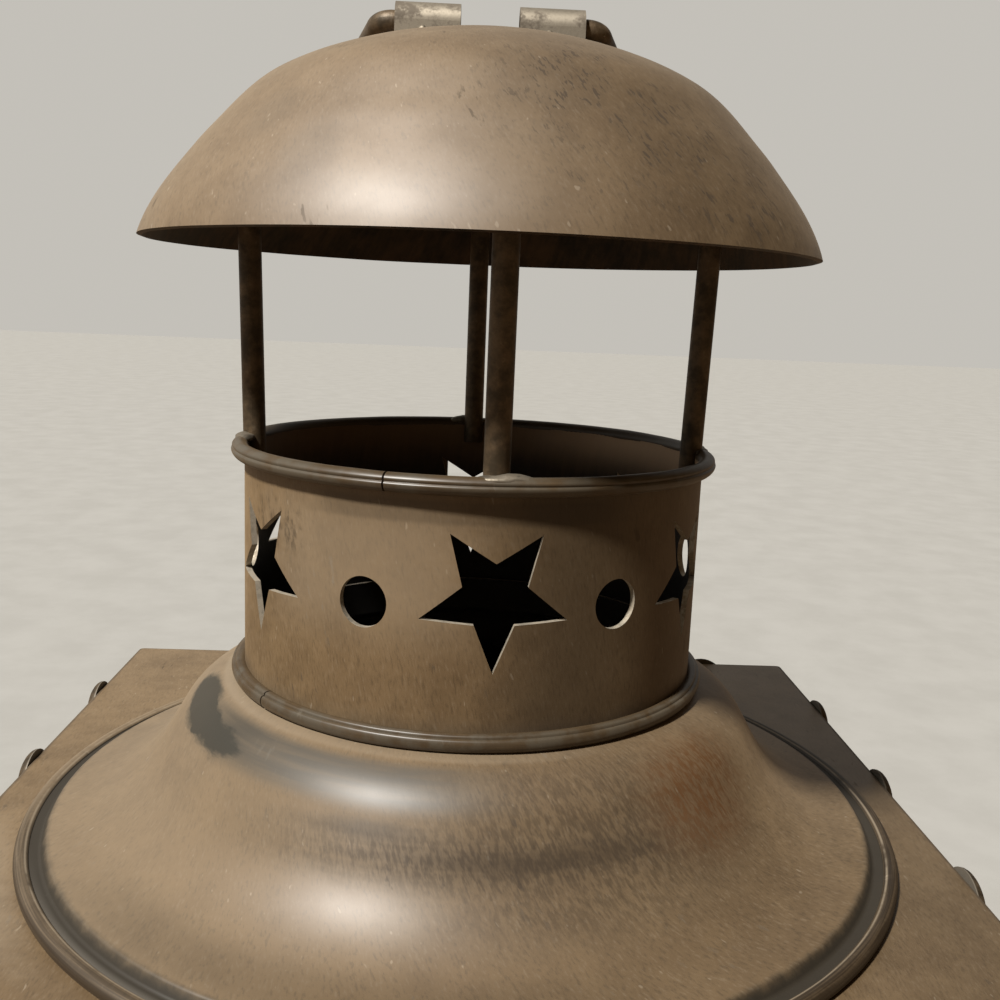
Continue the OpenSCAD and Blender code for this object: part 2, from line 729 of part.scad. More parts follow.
module star() {
  polygon([for (i = [0 : 9]) let (r = i % 2 == 0 ? star_tip : star_inner, t = 36 * i - 90)
    [r * cos(t), r * sin(t)]]);
}

// Pierced collar: rolled sheet with a wired bead at each end, stars and round holes
module collar() {
  punch = 8;
  color("#6a543e") difference() {
    union() {
      rotate_extrude() difference() {
        union() {
          translate([collar_inner, bead_low]) square([collar_sheet, bead_high - bead_low]);
          translate([bead_centre, bead_high]) circle(r = bead_radius, $fn = 32);
          intersection() {
            translate([bead_centre, bead_low]) circle(r = bead_radius, $fn = 32);
            translate([bead_centre - bead_radius, collar_seat]) square(2 * bead_radius);
          }
        }
        translate([bead_centre, bead_low]) circle(r = bead_wire, $fn = 24);
        translate([bead_centre, bead_high]) circle(r = bead_wire, $fn = 24);
      }
      rotate([0, 0, seam_turn - 90]) rotate_extrude(angle = seam_angle)
        translate([collar_radius - eps, bead_low + seam_trim])
          square([collar_sheet * 0.7, bead_high - bead_low - 2 * seam_trim]);
    }
    for (a = star_turns) rotate([0, 0, a])
      translate([0, -collar_radius + punch / 2, collar_seat + star_height]) rotate([90, 0, 0])
        linear_extrude(punch) star();
    for (a = hole_turns) rotate([0, 0, a])
      translate([0, -collar_radius + punch / 2, collar_seat + hole_height]) rotate([90, 0, 0])
        cylinder(h = punch, r = hole_diameter / 2);
  }
}

// Wires inside the rolled edges of the collar and the bell
module rim_wires() {
  color("#8a7a66") {
    for (z = [bead_low, bead_high])
      rotate_extrude() translate([bead_centre, z]) circle(r = bead_wire - wire_clear, $fn = 24);
    rotate_extrude() translate([roll_centre, roll_height]) circle(r = roll_wire - wire_clear, $fn = 32);
  }
}

// Cap posts: feet notched to lap inside the collar rim, tops cut to the underside of the cap
module posts() {
  color("#57452f") difference() {
    for (a = post_turns) rotate([0, 0, a]) translate([0, -post_circle, collar_top]) rotate([post_lean, 0, 0])
      translate([0, 0, -post_lap]) cylinder(h = post_lap + cap_lift + cap_height, r = post_radius, $fn = 32);
    rotate_extrude() union() {
      translate([collar_inner, collar_seat]) square([collar_radius, bead_high - collar_seat]);
      translate([bead_centre, bead_high]) circle(r = bead_radius, $fn = 32);
    }
    rotate_extrude() polygon(concat([[0, 2 * crown_top]], cap_points(cap_sheet),
      [[2 * cap_radius, cap_edge], [2 * cap_radius, 2 * crown_top]]));
  }
}

// Spun domed cap: flat crown blending into a tighter haunch
module cap() {
  color("#6f5943") rotate_extrude() polygon(concat(cap_points(0), backwards(cap_points(cap_sheet))));
}

// Handle sleeves: strap rolled round the wire with a foot seated on the crown
module sleeves() {
  color("#6f5943") difference() {
    for (s = [-1, 1]) translate([s * (sleeve_gap + sleeve_length) / 2 - sleeve_length / 2, 0, pivot_height]) {
      rotate([0, 90, 0]) cylinder(h = sleeve_length, r = sleeve_radius);
      translate([0, -sleeve_radius, -sleeve_radius * 2])
        cube([sleeve_length, 2 * sleeve_radius, sleeve_radius * 2]);
    }
    translate([-2 * sleeve_end, 0, pivot_height]) rotate([0, 90, 0])
      cylinder(h = 4 * sleeve_end, r = sleeve_bore);
    rotate_extrude() polygon(concat(cap_points(0), [[0, cap_edge]]));
  }
}

// One end of the bail in its own plane, x across and y away from the pivot
module bail_end() {
  straight = wire_radius - bail_draw;
  translate([sleeve_end - bail_grip, 0, 0]) rotate([0, 90, 0])
    cylinder(h = bail_grip + bail_end_clear + eps, r = straight, $fn = 32);
  translate([bend_start, bail_bend, 0]) rotate([0, 0, -90]) rotate_extrude(angle = 90 - bail_lean, $fn = 48)
    translate([bail_bend, 0]) circle(r = wire_radius, $fn = 32);
  translate([leg_x, leg_w, 0]) rotate([0, 0, -bail_lean]) rotate([-90, 0, 0]) translate([0, 0, -eps])
    cylinder(h = bail_leg + 2 * eps, r = straight, $fn = 32);
}

// Folding bail: bent wire with in-turned ends, drawn folded back on the cap
module bail() {
  color("#57452f") translate([0, 0, pivot_height]) rotate([-bail_rest, 0, 0]) {
    bail_end();
    rotate([0, 180, 0]) bail_end();
    translate([0, arch_w, 0]) rotate([0, 0, -bail_lean])
      rotate_extrude(angle = 180 + 2 * bail_lean, $fn = 96)
        translate([arch_radius, 0]) circle(r = wire_radius, $fn = 32);
  }
}

plinth();
feet();
foot_rivets();
candle_pan();
candle_socket();
pan_rivet();
wall_left();
wall_right();
wall_back();
front_panel();
corner_strips();
pane_left();
pane_right();
pane_back();
pane_clips();
door_frame();
door_pane();
door_clips();
door_knob();
door_catch();
frame_leaves();
door_leaves();
hinge_pins();
frame_rivets();
door_rivets();
roof();
roof_studs();
bell();
collar();
rim_wires();
posts();
cap();
sleeves();
bail();
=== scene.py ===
# %% [markdown]
# # A candle lantern of painted sheet metal
#
# The imported lantern is a set of solids at their real size, so it is loaded first and never moved.
# Every new piece takes its size and place from those solids.

# %% Load the imported lantern
import math

import bpy
from mathutils import Matrix, Vector


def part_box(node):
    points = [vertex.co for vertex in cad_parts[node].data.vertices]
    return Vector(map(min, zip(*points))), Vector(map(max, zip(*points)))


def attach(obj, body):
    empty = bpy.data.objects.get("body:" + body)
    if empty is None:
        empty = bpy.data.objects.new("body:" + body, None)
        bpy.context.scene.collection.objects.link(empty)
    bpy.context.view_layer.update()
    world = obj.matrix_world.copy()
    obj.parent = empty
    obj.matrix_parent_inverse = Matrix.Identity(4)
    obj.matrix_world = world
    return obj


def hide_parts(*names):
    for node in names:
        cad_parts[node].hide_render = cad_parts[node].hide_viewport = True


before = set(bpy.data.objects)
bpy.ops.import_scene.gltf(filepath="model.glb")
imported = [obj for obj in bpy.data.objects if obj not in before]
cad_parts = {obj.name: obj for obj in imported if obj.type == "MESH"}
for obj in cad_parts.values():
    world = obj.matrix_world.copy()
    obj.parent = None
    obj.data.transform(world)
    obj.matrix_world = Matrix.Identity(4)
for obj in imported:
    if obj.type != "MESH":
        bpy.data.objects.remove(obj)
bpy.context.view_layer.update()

# %% [markdown]
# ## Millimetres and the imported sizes
#
# A tinsmith works in millimetres and Blender in metres. All outlines below are written in
# millimetres, and one factor turns them into metres when a mesh is made. The heights and radii of
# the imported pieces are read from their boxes, so the new pieces follow the solids.

# %% Read the sizes that the pieces share
MM = 0.001


def reach(node):
    """Half the width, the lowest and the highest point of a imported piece, in millimetres."""
    low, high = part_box(node)
    return (high[0] - low[0]) / 2 / MM, low[2] / MM, high[2] / MM


CAP_RIM, CAP_EDGE, CROWN_TOP = reach("cap")
COLLAR_REACH, COLLAR_SEAT, COLLAR_TOP = reach("collar")
BELL_REACH, _, NECK_TOP = reach("bell")
ROOF_HALF, ROOF_SKIRT, ROOF_TOP = reach("roof")
CASING_HALF, PLINTH_TOP, CASING_TOP = reach("corner_strips")
PLINTH_HALF, PLINTH_SKIRT, _ = reach("plinth")
print("cap rim", round(CAP_RIM, 2), "collar", round(COLLAR_SEAT, 2), round(COLLAR_TOP, 2))

# %% [markdown]
# ## The camera
#
# The photograph was taken from close in front, a little above the stars, with the camera tipped
# down and slightly turned. Its place and angles were found by matching the edges of the roof plate,
# the bell rim, the beads and the cap. A camera's own axes are the rows of that turn, so the matrix
# is written from them instead of guessing three angles.

# %% Place the camera
IMAGE_SIDE, FOCAL_PIXELS, SENSOR = 1000, 1077, 36
NEAREST = 0.01
CAMERA_SPOT = (-2.4, -190.7, ROOF_TOP + 92.4)
TIP_DOWN, TURN_SIDE, TILT = 10.17, -2.17, 2.31

facing_back = Matrix(((1, 0, 0), (0, 0, -1), (0, 1, 0)))
pose = (Matrix.Rotation(math.radians(TILT), 3, "Z") @ Matrix.Rotation(math.radians(TIP_DOWN), 3, "X")
        @ Matrix.Rotation(math.radians(TURN_SIDE), 3, "Y") @ facing_back)
axes = Matrix((pose[0], -pose[1], -pose[2])).transposed().to_4x4()

bpy.ops.object.select_all(action="DESELECT")
bpy.ops.object.camera_add(location=(0, 0, 0))
camera = bpy.context.object
camera.name = "camera"
camera.matrix_world = Matrix.Translation(Vector(CAMERA_SPOT) * MM) @ axes
camera.data.sensor_fit = "HORIZONTAL"
camera.data.sensor_width = SENSOR
camera.data.lens = SENSOR * FOCAL_PIXELS / IMAGE_SIDE
camera.data.clip_start = NEAREST
bpy.context.scene.camera = camera
print("lens", round(camera.data.lens, 2), "mm")

# %% [markdown]
# ## Shader sums as plain Python
#
# A finish is a graph of small nodes, and a graph is hard to read when every Math node is added by
# hand. The class below wraps one socket. Sums and products of wrapped sockets add their own Math
# nodes, and every other node comes from one method, which sets the node up and joins its sockets.

# %% Wrap a socket
class Wire:
    """One socket of a shader graph, for use in Python sums."""

    def __init__(self, tree, socket=None):
        self.tree = tree
        self.socket = socket

    def node(self, kind, settings=None, sockets=None, out=0):
        """Adds a node, sets it up, joins or fills its sockets and wraps one of its outputs."""
        made = self.tree.nodes.new(kind)
        for name, value in (settings or {}).items():
            setattr(made, name, value)
        for key, value in (sockets or {}).items():
            if isinstance(value, Wire):
                self.tree.links.new(value.socket, made.inputs[key])
            else:
                made.inputs[key].default_value = value
        return Wire(self.tree, made.outputs[out])

    def maths(self, operation, first, second=0.0):
        """Adds a Math node. Its values are wires or plain numbers."""
        return self.node("ShaderNodeMath", {"operation": operation}, {0: first, 1: second})

    def __add__(self, other):
        return self.maths("ADD", self, other)

    __radd__ = __add__

    def __mul__(self, other):
        return self.maths("MULTIPLY", self, other)

    __rmul__ = __mul__

    def __sub__(self, other):
        return self.maths("SUBTRACT", self, other)

    def __rsub__(self, other):
        return self.maths("SUBTRACT", other, self)

    def __truediv__(self, other):
        return self.maths("DIVIDE", self, other)


print("sockets can be added, subtracted, multiplied and divided")

# %% [markdown]
# ## Places, masks and blends
#
# The finish was wiped on by hand, so it is full of short fine strokes. They run down from the
# middle of the cap and the bell, straight down the walls, and from front to back on the flat plates.
# A stroke is noise squeezed sideways. On a round piece the direction from the axis takes the place
# of x and y, so the strokes have no seam, and radius minus height runs down the slope. That direction
# is turned a little on the way down, because the hand that wiped the paint did not go straight. All
# places are in millimetres, and the side is the angle from the front towards the right.

# %% Helpers for surfaces
SLANT, GIRTH = 0.22, 45


class Surface:
    """The coordinates that a finish is drawn on, in millimetres and degrees."""

    def __init__(self, g, way):
        spot = g.node("ShaderNodeTexCoord", out="Object")
        self.place = g.node("ShaderNodeVectorMath", {"operation": "SCALE"}, {0: spot, "Scale": 1 / MM})
        parts = g.node("ShaderNodeSeparateXYZ", sockets={0: self.place}).socket.node.outputs
        self.x, self.y, self.z = (Wire(g.tree, part) for part in parts)
        self.r = g.maths("SQRT", self.x * self.x + self.y * self.y)
        self.side = g.maths("ARCTAN2", self.x, 0 - self.y) * (180 / math.pi)
        if way == "round":
            self.down = self.r - self.z
            aim = self.side * (math.pi / 180) - self.down * (SLANT / GIRTH)
            self.across = (g.maths("SINE", aim) * GIRTH, g.maths("COSINE", aim) * GIRTH)
        elif way == "flat":
            self.across = (self.x, self.z)
            self.down = self.y
        else:
            self.across = (self.x, self.y)
            self.down = self.z

    def strokes(self, g, long):
        """Coordinates squeezed so that a spot of noise becomes a stroke that many times as long."""
        return g.node("ShaderNodeCombineXYZ",
                      sockets={0: self.across[0], 1: self.across[1], 2: self.down / long})

    def smears(self, g, long):
        """The same, squeezed the other way, for smears that run across the strokes."""
        return g.node("ShaderNodeCombineXYZ",
                      sockets={0: self.across[0] / long, 1: self.across[1] / long, 2: self.down})

    def from_middle(self, g, which):
        """The "MAXIMUM" or "MINIMUM" of the two distances from the middle, along x and along y."""
        return g.maths(which, g.maths("ABSOLUTE", self.x), g.maths("ABSOLUTE", self.y))


def noise(g, vector, size, detail=2.0, rough=0.5, seed=0.0):
    """Soft noise with spots of that size in millimetres."""
    return g.node("ShaderNodeTexNoise", {"noise_dimensions": "4D"},
                  {"Vector": vector, "W": seed, "Scale": 1 / size, "Detail": detail, "Roughness": rough})


def rise(g, value, low, high):
    """A smooth step from 0 at low to 1 at high."""
    return g.node("ShaderNodeMapRange", {"interpolation_type": "SMOOTHSTEP"}, {0: value, 1: low, 2: high})


def band(g, value, low, high, soft):
    """1 between low and high, fading out over soft."""
    return rise(g, value, low - soft, low + soft) * (1 - rise(g, value, high - soft, high + soft))


def smudge(g, s, side, radius, half_side, half_radius, ragged, seed, soft=0.25):
    """A ragged mark on a round piece, at a side and radius, with half sizes in degrees and mm."""
    along, out = (s.side - side) / half_side, (s.r - radius) / half_radius
    far = g.maths("SQRT", along * along + out * out)
    edge = (noise(g, s.smears(g, 2), 2.5, 4, 0.65, seed) - 0.5) * ragged
    return 1 - rise(g, far + edge, 1 - soft, 1 + soft)


def blend(g, share, under, over):
    """One colour over another, where share is 1."""
    return g.node("ShaderNodeMix", {"data_type": "RGBA"}, {0: share, 6: under, 7: over}, out=2)


def layered(g, colour, *layers):
    """A colour under layers, each a share and the colour that it adds there."""
    for share, tone in layers:
        colour = blend(g, share, colour, tone)
    return colour


def finish_named(name):
    """A new material, a wire to start its graph from and its shader."""
    finish = bpy.data.materials.new(name)
    finish.use_nodes = True
    return finish, Wire(finish.node_tree), finish.node_tree.nodes["Principled BSDF"]


def feed(g, shader, **values):
    """Joins wires to the shader's sockets, or sets plain numbers on them."""
    for key, value in values.items():
        socket = shader.inputs[key.replace("_", " ")]
        if isinstance(value, Wire):
            g.tree.links.new(value.socket, socket)
        else:
            socket.default_value = value


def bump(g, height, depth, strength=1.0):
    """A normal that follows a height, with that depth in millimetres."""
    return g.node("ShaderNodeBump", sockets={"Strength": strength, "Distance": depth * MM, "Height": height})


print("surface helpers ready")

# %% [markdown]
# ## The studio
#
# The photograph has one strong lamp high at the front left and dim light from the room, with a pale
# wall behind and on the left. A sun lamp gives the first: its angle sets how soft the edge of the
# cap's shadow on the collar is. The world is dim and warm in front and at the right, and brighter
# behind and at the left, so that the metal reflects a wall there. Seen straight on it is shown as
# pale as the floor, so that the background looks plain without filling the shadows.

# %% Set the lamp and the room
LAMP_SIDE, LAMP_HEIGHT = -45, 53
LAMP_STRENGTH, LAMP_WIDTH, LAMP_TONE = 8.0, 6, (1.0, 0.97, 0.92)
ROOM_DIM, ROOM_BACK, ROOM_LEFT, ROOM_SHOWN = 0.115, 0.28, 0.22, 0.55
ROOM_WARM, ROOM_PALE = (1.0, 0.65, 0.30, 1), (1.0, 0.96, 0.88, 1)

round_to, up_to = math.radians(LAMP_SIDE), math.radians(LAMP_HEIGHT)
level = math.cos(up_to)
to_lamp = Vector((math.sin(round_to) * level, -math.cos(round_to) * level, math.sin(up_to)))
bpy.ops.object.light_add(type="SUN", location=to_lamp)
lamp = bpy.context.object
lamp.name = "lamp"
lamp.rotation_euler = to_lamp.to_track_quat("Z", "Y").to_euler()
lamp.data.energy = LAMP_STRENGTH
lamp.data.angle = math.radians(LAMP_WIDTH)
lamp.data.color = LAMP_TONE

room = bpy.data.worlds.new("room")
room.use_nodes = True
bpy.context.scene.world = room
paper = room.node_tree.nodes["Background"]
w = Wire(room.node_tree)
ways = w.node("ShaderNodeSeparateXYZ", sockets={0: w.node("ShaderNodeTexCoord", out="Generated")})
to_right, to_back = (Wire(room.node_tree, ways.socket.node.outputs[i]) for i in (0, 1))
behind = rise(w, to_back - 0.35 * to_right, 0.1, 0.8)
at_left = rise(w, 0 - to_right, 0.0, 0.9)
pale_wall = behind * ROOM_BACK + at_left * ROOM_LEFT
around = ROOM_DIM + pale_wall
seen = w.node("ShaderNodeLightPath", out="Is Camera Ray")
tone = blend(w, w.maths("MAXIMUM", seen, rise(w, pale_wall, 0.0, 0.15)), ROOM_WARM, ROOM_PALE)
shown = around + seen * (ROOM_SHOWN - around)
room.node_tree.links.new(tone.socket, paper.inputs["Color"])
room.node_tree.links.new(shown.socket, paper.inputs["Strength"])
bpy.context.scene.view_settings.view_transform = "Standard"
print("lamp", LAMP_STRENGTH, "room", ROOM_DIM, ROOM_BACK, ROOM_LEFT)

# %% [markdown]
# ## Antique paint
#
# The lantern has a brown metallic paint: a broad soft gleam that takes the colour of the paint, and a
# thin clear coat that adds a paler shine. Over it lie umber clouds, fine light and dark strokes and
# clusters of dark flecks. A picture wrapped round the shape would give this, but it would bring the
# light of its day with it. Noise at each scale gives the same look and can be lit from anywhere.
# Marks that belong to one piece are added by a function of its own, which also says where the
# surface has gone matt.

# %% Mix the paint
PALE = (0.250, 0.172, 0.091, 1)
DEEP = (0.178, 0.118, 0.060, 1)
UMBER = (0.034, 0.022, 0.012, 1)
CREAM = (0.420, 0.350, 0.260, 1)
SOOT = (0.010, 0.008, 0.005, 1)
SLATE = (0.033, 0.030, 0.022, 1)
RUST = (0.114, 0.048, 0.012, 1)
# The second smoke colour turns the soot into painted shade deep in the chimney.
SMOKE, SOOT_AND_SHADE_DEEP = (0.075, 0.044, 0.022, 1), (0.003, 0.0025, 0.0015, 1)
# Both inner colours are painted light on a band at the top inside the collar, brighter on the right.
INNER_DIM_LIGHT, INNER_LIT = (0.20, 0.125, 0.070, 1), (0.62, 0.44, 0.29, 1)
PAINT_ROUGH, COAT_INDEX = 0.90, 1.70
LIGHT_STROKES, DARK_STROKES, FLECKS, SPECKS = 0.20, 0.30, 0.65, 0.5


def antique_paint(name, way, marks=None, grain=1.0, gloss=0.6, gloss_rough=0.48):
    """Brown metallic paint. marks(g, s, colour) returns a colour and where the surface is matt."""
    finish, g, shader = finish_named(name)
    s = Surface(g, way)
    cloud = noise(g, s.place, 34, 3, 0.55)
    mottle = noise(g, s.place, 6, 4, 0.6, 1.0)
    fine = noise(g, s.strokes(g, 4), 0.32, 2, 0.6, 2.0)
    broad = noise(g, s.strokes(g, 4), 1.1, 3, 0.6, 3.0)
    patch = noise(g, s.place, 13, 3, 0.6, 4.0)

    flecks = rise(g, broad, 0.60, 0.67) * rise(g, patch, 0.54, 0.64)
    specks = rise(g, noise(g, s.strokes(g, 3), 0.7, 1, 0.5, 5.0), 0.72, 0.78)
    colour = layered(g, DEEP, (rise(g, cloud * 0.55 + mottle * 0.45, 0.36, 0.64), PALE),
                     (rise(g, fine, 0.52, 0.75) * LIGHT_STROKES * grain, CREAM),
                     ((1 - rise(g, fine, 0.28, 0.50)) * DARK_STROKES * grain, UMBER),
                     (flecks * FLECKS, UMBER), (specks * SPECKS, CREAM))

    matt = flecks * 0.5
    if marks:
        colour, dull = marks(g, s, colour)
        matt = g.maths("MAXIMUM", matt, dull)
    rough = PAINT_ROUGH + (mottle - 0.5) * 0.12 + (fine - 0.5) * 0.12
    coat = (gloss + (mottle - 0.5) * 0.4 * gloss) * (1 - matt)
    relief = fine * 0.4 + broad * 0.4 + mottle * 0.8
    feed(g, shader, Base_Color=colour, Roughness=rough, Metallic=1 - matt * 0.9, Coat_Weight=coat,
         Coat_Roughness=gloss_rough, Coat_IOR=COAT_INDEX, Normal=bump(g, relief, 0.05, 0.5))
    return finish


def smoke_shade_finish(name):
    """Brown black film of smoke on the inner faces, with painted shade that blackens it down in the chimney
    and painted light on a band at the top of the collar.
    """
    finish, g, shader = finish_named(name)
    s = Surface(g, "round")
    film = noise(g, s.place, 9, 5, 0.65)
    streak = noise(g, s.strokes(g, 6), 1.5, 3, 0.6, 1.0)
    # Painted light: a band at the top of the collar inside, brighter on the right inner wall, which faces the
    # lamp.
    painted_inner_light = blend(g, band(g, s.side, 70, 150, 20), INNER_DIM_LIGHT, INNER_LIT)
    colour = layered(g, SOOT, (rise(g, film * 0.6 + streak * 0.4, 0.35, 0.68), SMOKE),
                     (band(g, s.z, COLLAR_TOP - 6, COLLAR_TOP + 2, 6) * 0.8, painted_inner_light))
    # Painted shade: the film goes near black down in the chimney.
    colour = blend(g, rise(g, s.z, COLLAR_TOP - 18, COLLAR_TOP - 2), SOOT_AND_SHADE_DEEP, colour)
    feed(g, shader, Base_Color=colour, Roughness=0.62 + (film - 0.5) * 0.3, Metallic=0.4,
         Normal=bump(g, film + streak * 0.4, 0.06, 0.6))
    return finish


smoke_and_shade_film = smoke_shade_finish("smoke_and_shade_film")
print("paint and soot mixed")

# %% [markdown]
# ## Dark trim, worn metal, brass and glass
#
# Posts, studs, bail and feet are nearly black brown, rubbed on their high spots. The straps on the
# crown and the beads have lost most of their paint and show grey metal. Clips and rivets are steel
# that has gone dull, knob, catch and hinges are brass with a brown film. The glass is thin sheet, so
# it only tints and reflects: a mix of a clear and a mirror shader.

# %% Mix the other finishes
TRIM_DARK, TRIM_LIGHT = (0.042, 0.030, 0.017, 1), (0.112, 0.077, 0.044, 1)
STUD_DARK, STUD_LIGHT = (0.030, 0.021, 0.012, 1), (0.085, 0.060, 0.035, 1)
TRIM_BARE, STUD_BACK = (0.24, 0.19, 0.13, 1), (0.150, 0.132, 0.105, 1)
GLASS_TINT = (0.970, 0.980, 0.972, 1)


def dark_trim(name, bare=0.5):
    """Brown black, with metal showing through in small spots."""
    finish, g, shader = finish_named(name)
    s = Surface(g, "upright")
    mottle = noise(g, s.place, 3.5, 4, 0.65)
    grain = noise(g, s.place, 0.7, 3, 0.6, 1.0)
    scuffs = rise(g, mottle * 0.5 + grain * 0.5, 0.56, 0.70) * bare
    colour = layered(g, TRIM_DARK, (rise(g, mottle, 0.35, 0.65), TRIM_LIGHT), (scuffs, TRIM_BARE))
    feed(g, shader, Base_Color=colour, Roughness=0.50 + (grain - 0.5) * 0.3, Metallic=0.6 + scuffs * 0.4,
         Normal=bump(g, mottle + grain * 0.5, 0.10, 0.8))
    return finish


def dull_metal(name, bright, film, film_share, rough, size=4.0):
    """Bare metal under a patchy film."""
    finish, g, shader = finish_named(name)
    s = Surface(g, "upright")
    mottle = noise(g, s.place, size, 4, 0.6)
    grain = noise(g, s.place, 0.5, 2, 0.5, 1.0)
    dull = rise(g, mottle + (grain - 0.5) * 0.3, 0.40, 0.62) * film_share
    feed(g, shader, Base_Color=blend(g, dull, bright, film), Metallic=1 - dull * 0.5,
         Roughness=rough + dull * 0.25 + (grain - 0.5) * 0.12,
         Normal=bump(g, mottle + grain * 0.4, 0.04, 0.7))
    return finish


def sheet_glass(name):
    """Thin window glass with a slight ripple and a little dust."""
    finish, g, shader = finish_named(name)
    s = Surface(g, "upright")
    ripple = bump(g, noise(g, s.place, 40, 2, 0.5), 0.3, 0.4)
    dust = rise(g, noise(g, s.place, 12, 5, 0.7, 1.0), 0.45, 0.8)
    finish.node_tree.nodes.remove(shader)
    gloss = g.node("ShaderNodeBsdfGlossy", sockets={"Roughness": 0.03, "Normal": ripple})
    clear = g.node("ShaderNodeBsdfTransparent", sockets={"Color": GLASS_TINT})
    facing = g.node("ShaderNodeLayerWeight", sockets={"Blend": 0.25}, out="Fresnel")
    mixed = g.node("ShaderNodeMixShader", sockets={0: facing * 0.8 + dust * 0.05, 1: clear, 2: gloss})
    g.tree.links.new(mixed.socket, finish.node_tree.nodes["Material Output"].inputs["Surface"])
    return finish


def stud_cap(name):
    """Dark paint on the domes of the studs and bare metal on their backs."""
    finish, g, shader = finish_named(name)
    s = Surface(g, "upright")
    mottle = noise(g, s.place, 2.5, 4, 0.65)
    bare = 1 - rise(g, s.from_middle(g, "MAXIMUM"), ROOF_HALF + 0.10, ROOF_HALF + 0.35)
    colour = layered(g, STUD_DARK, (rise(g, mottle, 0.35, 0.65), STUD_LIGHT), (bare * 0.85, STUD_BACK))
    feed(g, shader, Base_Color=colour, Roughness=0.62 + (mottle - 0.5) * 0.3, Metallic=0.6 - bare * 0.3,
         Normal=bump(g, mottle, 0.08, 0.7))
    return finish


trim = dark_trim("trim")
stud_metal = stud_cap("stud_metal")
strap_metal = dull_metal("strap_metal", (0.255, 0.225, 0.180, 1), (0.105, 0.086, 0.064, 1), 0.90, 0.56, 5.0)
solder_grey = dull_metal("solder_grey", (0.19, 0.165, 0.130, 1), (0.10, 0.080, 0.055, 1), 0.8, 0.55, 2.5)
dull_steel = dull_metal("dull_steel", (0.30, 0.285, 0.26, 1), (0.07, 0.060, 0.046, 1), 0.8, 0.40)
old_brass = dull_metal("old_brass", (0.48, 0.32, 0.12, 1), (0.11, 0.066, 0.028, 1), 0.85, 0.34)
cut_edge = dull_metal("cut_edge", (0.48, 0.43, 0.35, 1), (0.22, 0.18, 0.13, 1), 0.7, 0.60, 2.0)
window_glass = sheet_glass("window_glass")
print("metals and glass mixed")

# %% [markdown]
# ## Turning a piece on a lathe
#
# Cap, bell and beads were spun over a form, and Blender's spin does the same: an outline of points
# is drawn from the axis outwards and turned about it. One helper draws the outline point by point,
# spins it, merges the seam and makes all faces point outwards. A sweep under a full turn leaves two
# ends, which are closed. The small helpers before it only give short names to steps that every piece
# needs.

# %% A lathe for outlines
SAME_SPOT = 1e-6


def deselect():
    """Clears the selection of pieces."""
    bpy.ops.object.select_all(action="DESELECT")


def take(piece):
    """Selects one piece and makes it the active one."""
    deselect()
    piece.select_set(True)
    bpy.context.view_layer.objects.active = piece


def edit():
    """Opens the active piece for edits of its mesh."""
    bpy.ops.object.mode_set(mode="EDIT")


def leave():
    """Closes the mesh and goes back to whole pieces."""
    bpy.ops.object.mode_set(mode="OBJECT")


def take_all():
    """Selects the whole mesh that is being edited."""
    bpy.ops.mesh.select_all(action="SELECT")


def face_outwards():
    """Turns all faces of the edited mesh outwards and leaves edit mode."""
    take_all()
    bpy.ops.mesh.normals_make_consistent(inside=False)
    leave()


def fix_place():
    """Puts the place, turn and scale of the selected piece into its mesh."""
    bpy.ops.object.transform_apply(location=True, rotation=True, scale=True)


def turned(name, outline, steps=192, sweep=360.0, start=-90.0):
    """Spins (radius, height) points in millimetres about the upright axis, from the start angle on."""
    deselect()
    bpy.ops.mesh.primitive_plane_add(size=MM)
    piece = bpy.context.object
    piece.name = name
    out = Vector((math.cos(math.radians(start)), math.sin(math.radians(start)), 0))
    points = [(out * radius + Vector((0, 0, high))) * MM for radius, high in outline]
    edit()
    bpy.ops.mesh.select_mode(type="VERT")
    take_all()
    bpy.ops.mesh.merge(type="CENTER")
    bpy.ops.transform.translate(value=points[0])
    for here, there in zip(points, points[1:]):
        bpy.ops.mesh.extrude_vertices_move(TRANSFORM_OT_translate={"value": there - here})
    take_all()
    bpy.ops.mesh.remove_doubles(threshold=SAME_SPOT)
    bpy.ops.mesh.spin(steps=steps, angle=math.radians(sweep), center=(0, 0, 0), axis=(0, 0, 1))
    take_all()
    bpy.ops.mesh.remove_doubles(threshold=SAME_SPOT)
    if sweep < 360:
        bpy.ops.mesh.fill_holes(sides=0)
    face_outwards()
    return piece


def arc(middle, height, radius, first, last, steps):
    """Points on an arc. Angles are from straight up, outwards, in degrees."""
    turns = [math.radians(first + (last - first) * i / steps) for i in range(steps + 1)]
    return [(middle + radius * math.sin(t), height + radius * math.cos(t)) for t in turns]


print("lathe ready")

# %% [markdown]
# ## Finishing a piece
#
# Every new piece ends the same way: smooth shading except at sharp edges, a finish, the body that it
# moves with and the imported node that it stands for. Faces that need another finish, such as the
# smoked inside of the cap, are picked by a test on the face and given their own slot. Pieces that
# repeat are shaped once and copied, each copy with a mesh of its own.

# %% Helpers that finish a piece
def settle(piece, finish, *nodes, body="lantern", slot="antique_paint", smooth=40):
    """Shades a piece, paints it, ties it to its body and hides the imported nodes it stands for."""
    take(piece)
    bpy.ops.object.shade_smooth_by_angle(angle=math.radians(smooth))
    if not piece.data.materials:
        piece.data.materials.append(finish)
    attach(piece, body)
    if nodes:
        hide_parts(*nodes)
    print(piece.name, len(piece.data.polygons), "faces")


def pick_nothing(piece, kind):
    """Empties the selection in a piece's mesh, where faces or edges are picked next."""
    bpy.context.view_layer.objects.active = piece
    edit()
    bpy.ops.mesh.select_mode(type=kind)
    bpy.ops.mesh.select_all(action="DESELECT")
    leave()


def pick_faces(piece, chosen):
    """Selects the faces that pass a test and leaves the piece in edit mode."""
    pick_nothing(piece, "FACE")
    for face in piece.data.polygons:
        face.select = chosen(face)
    edit()


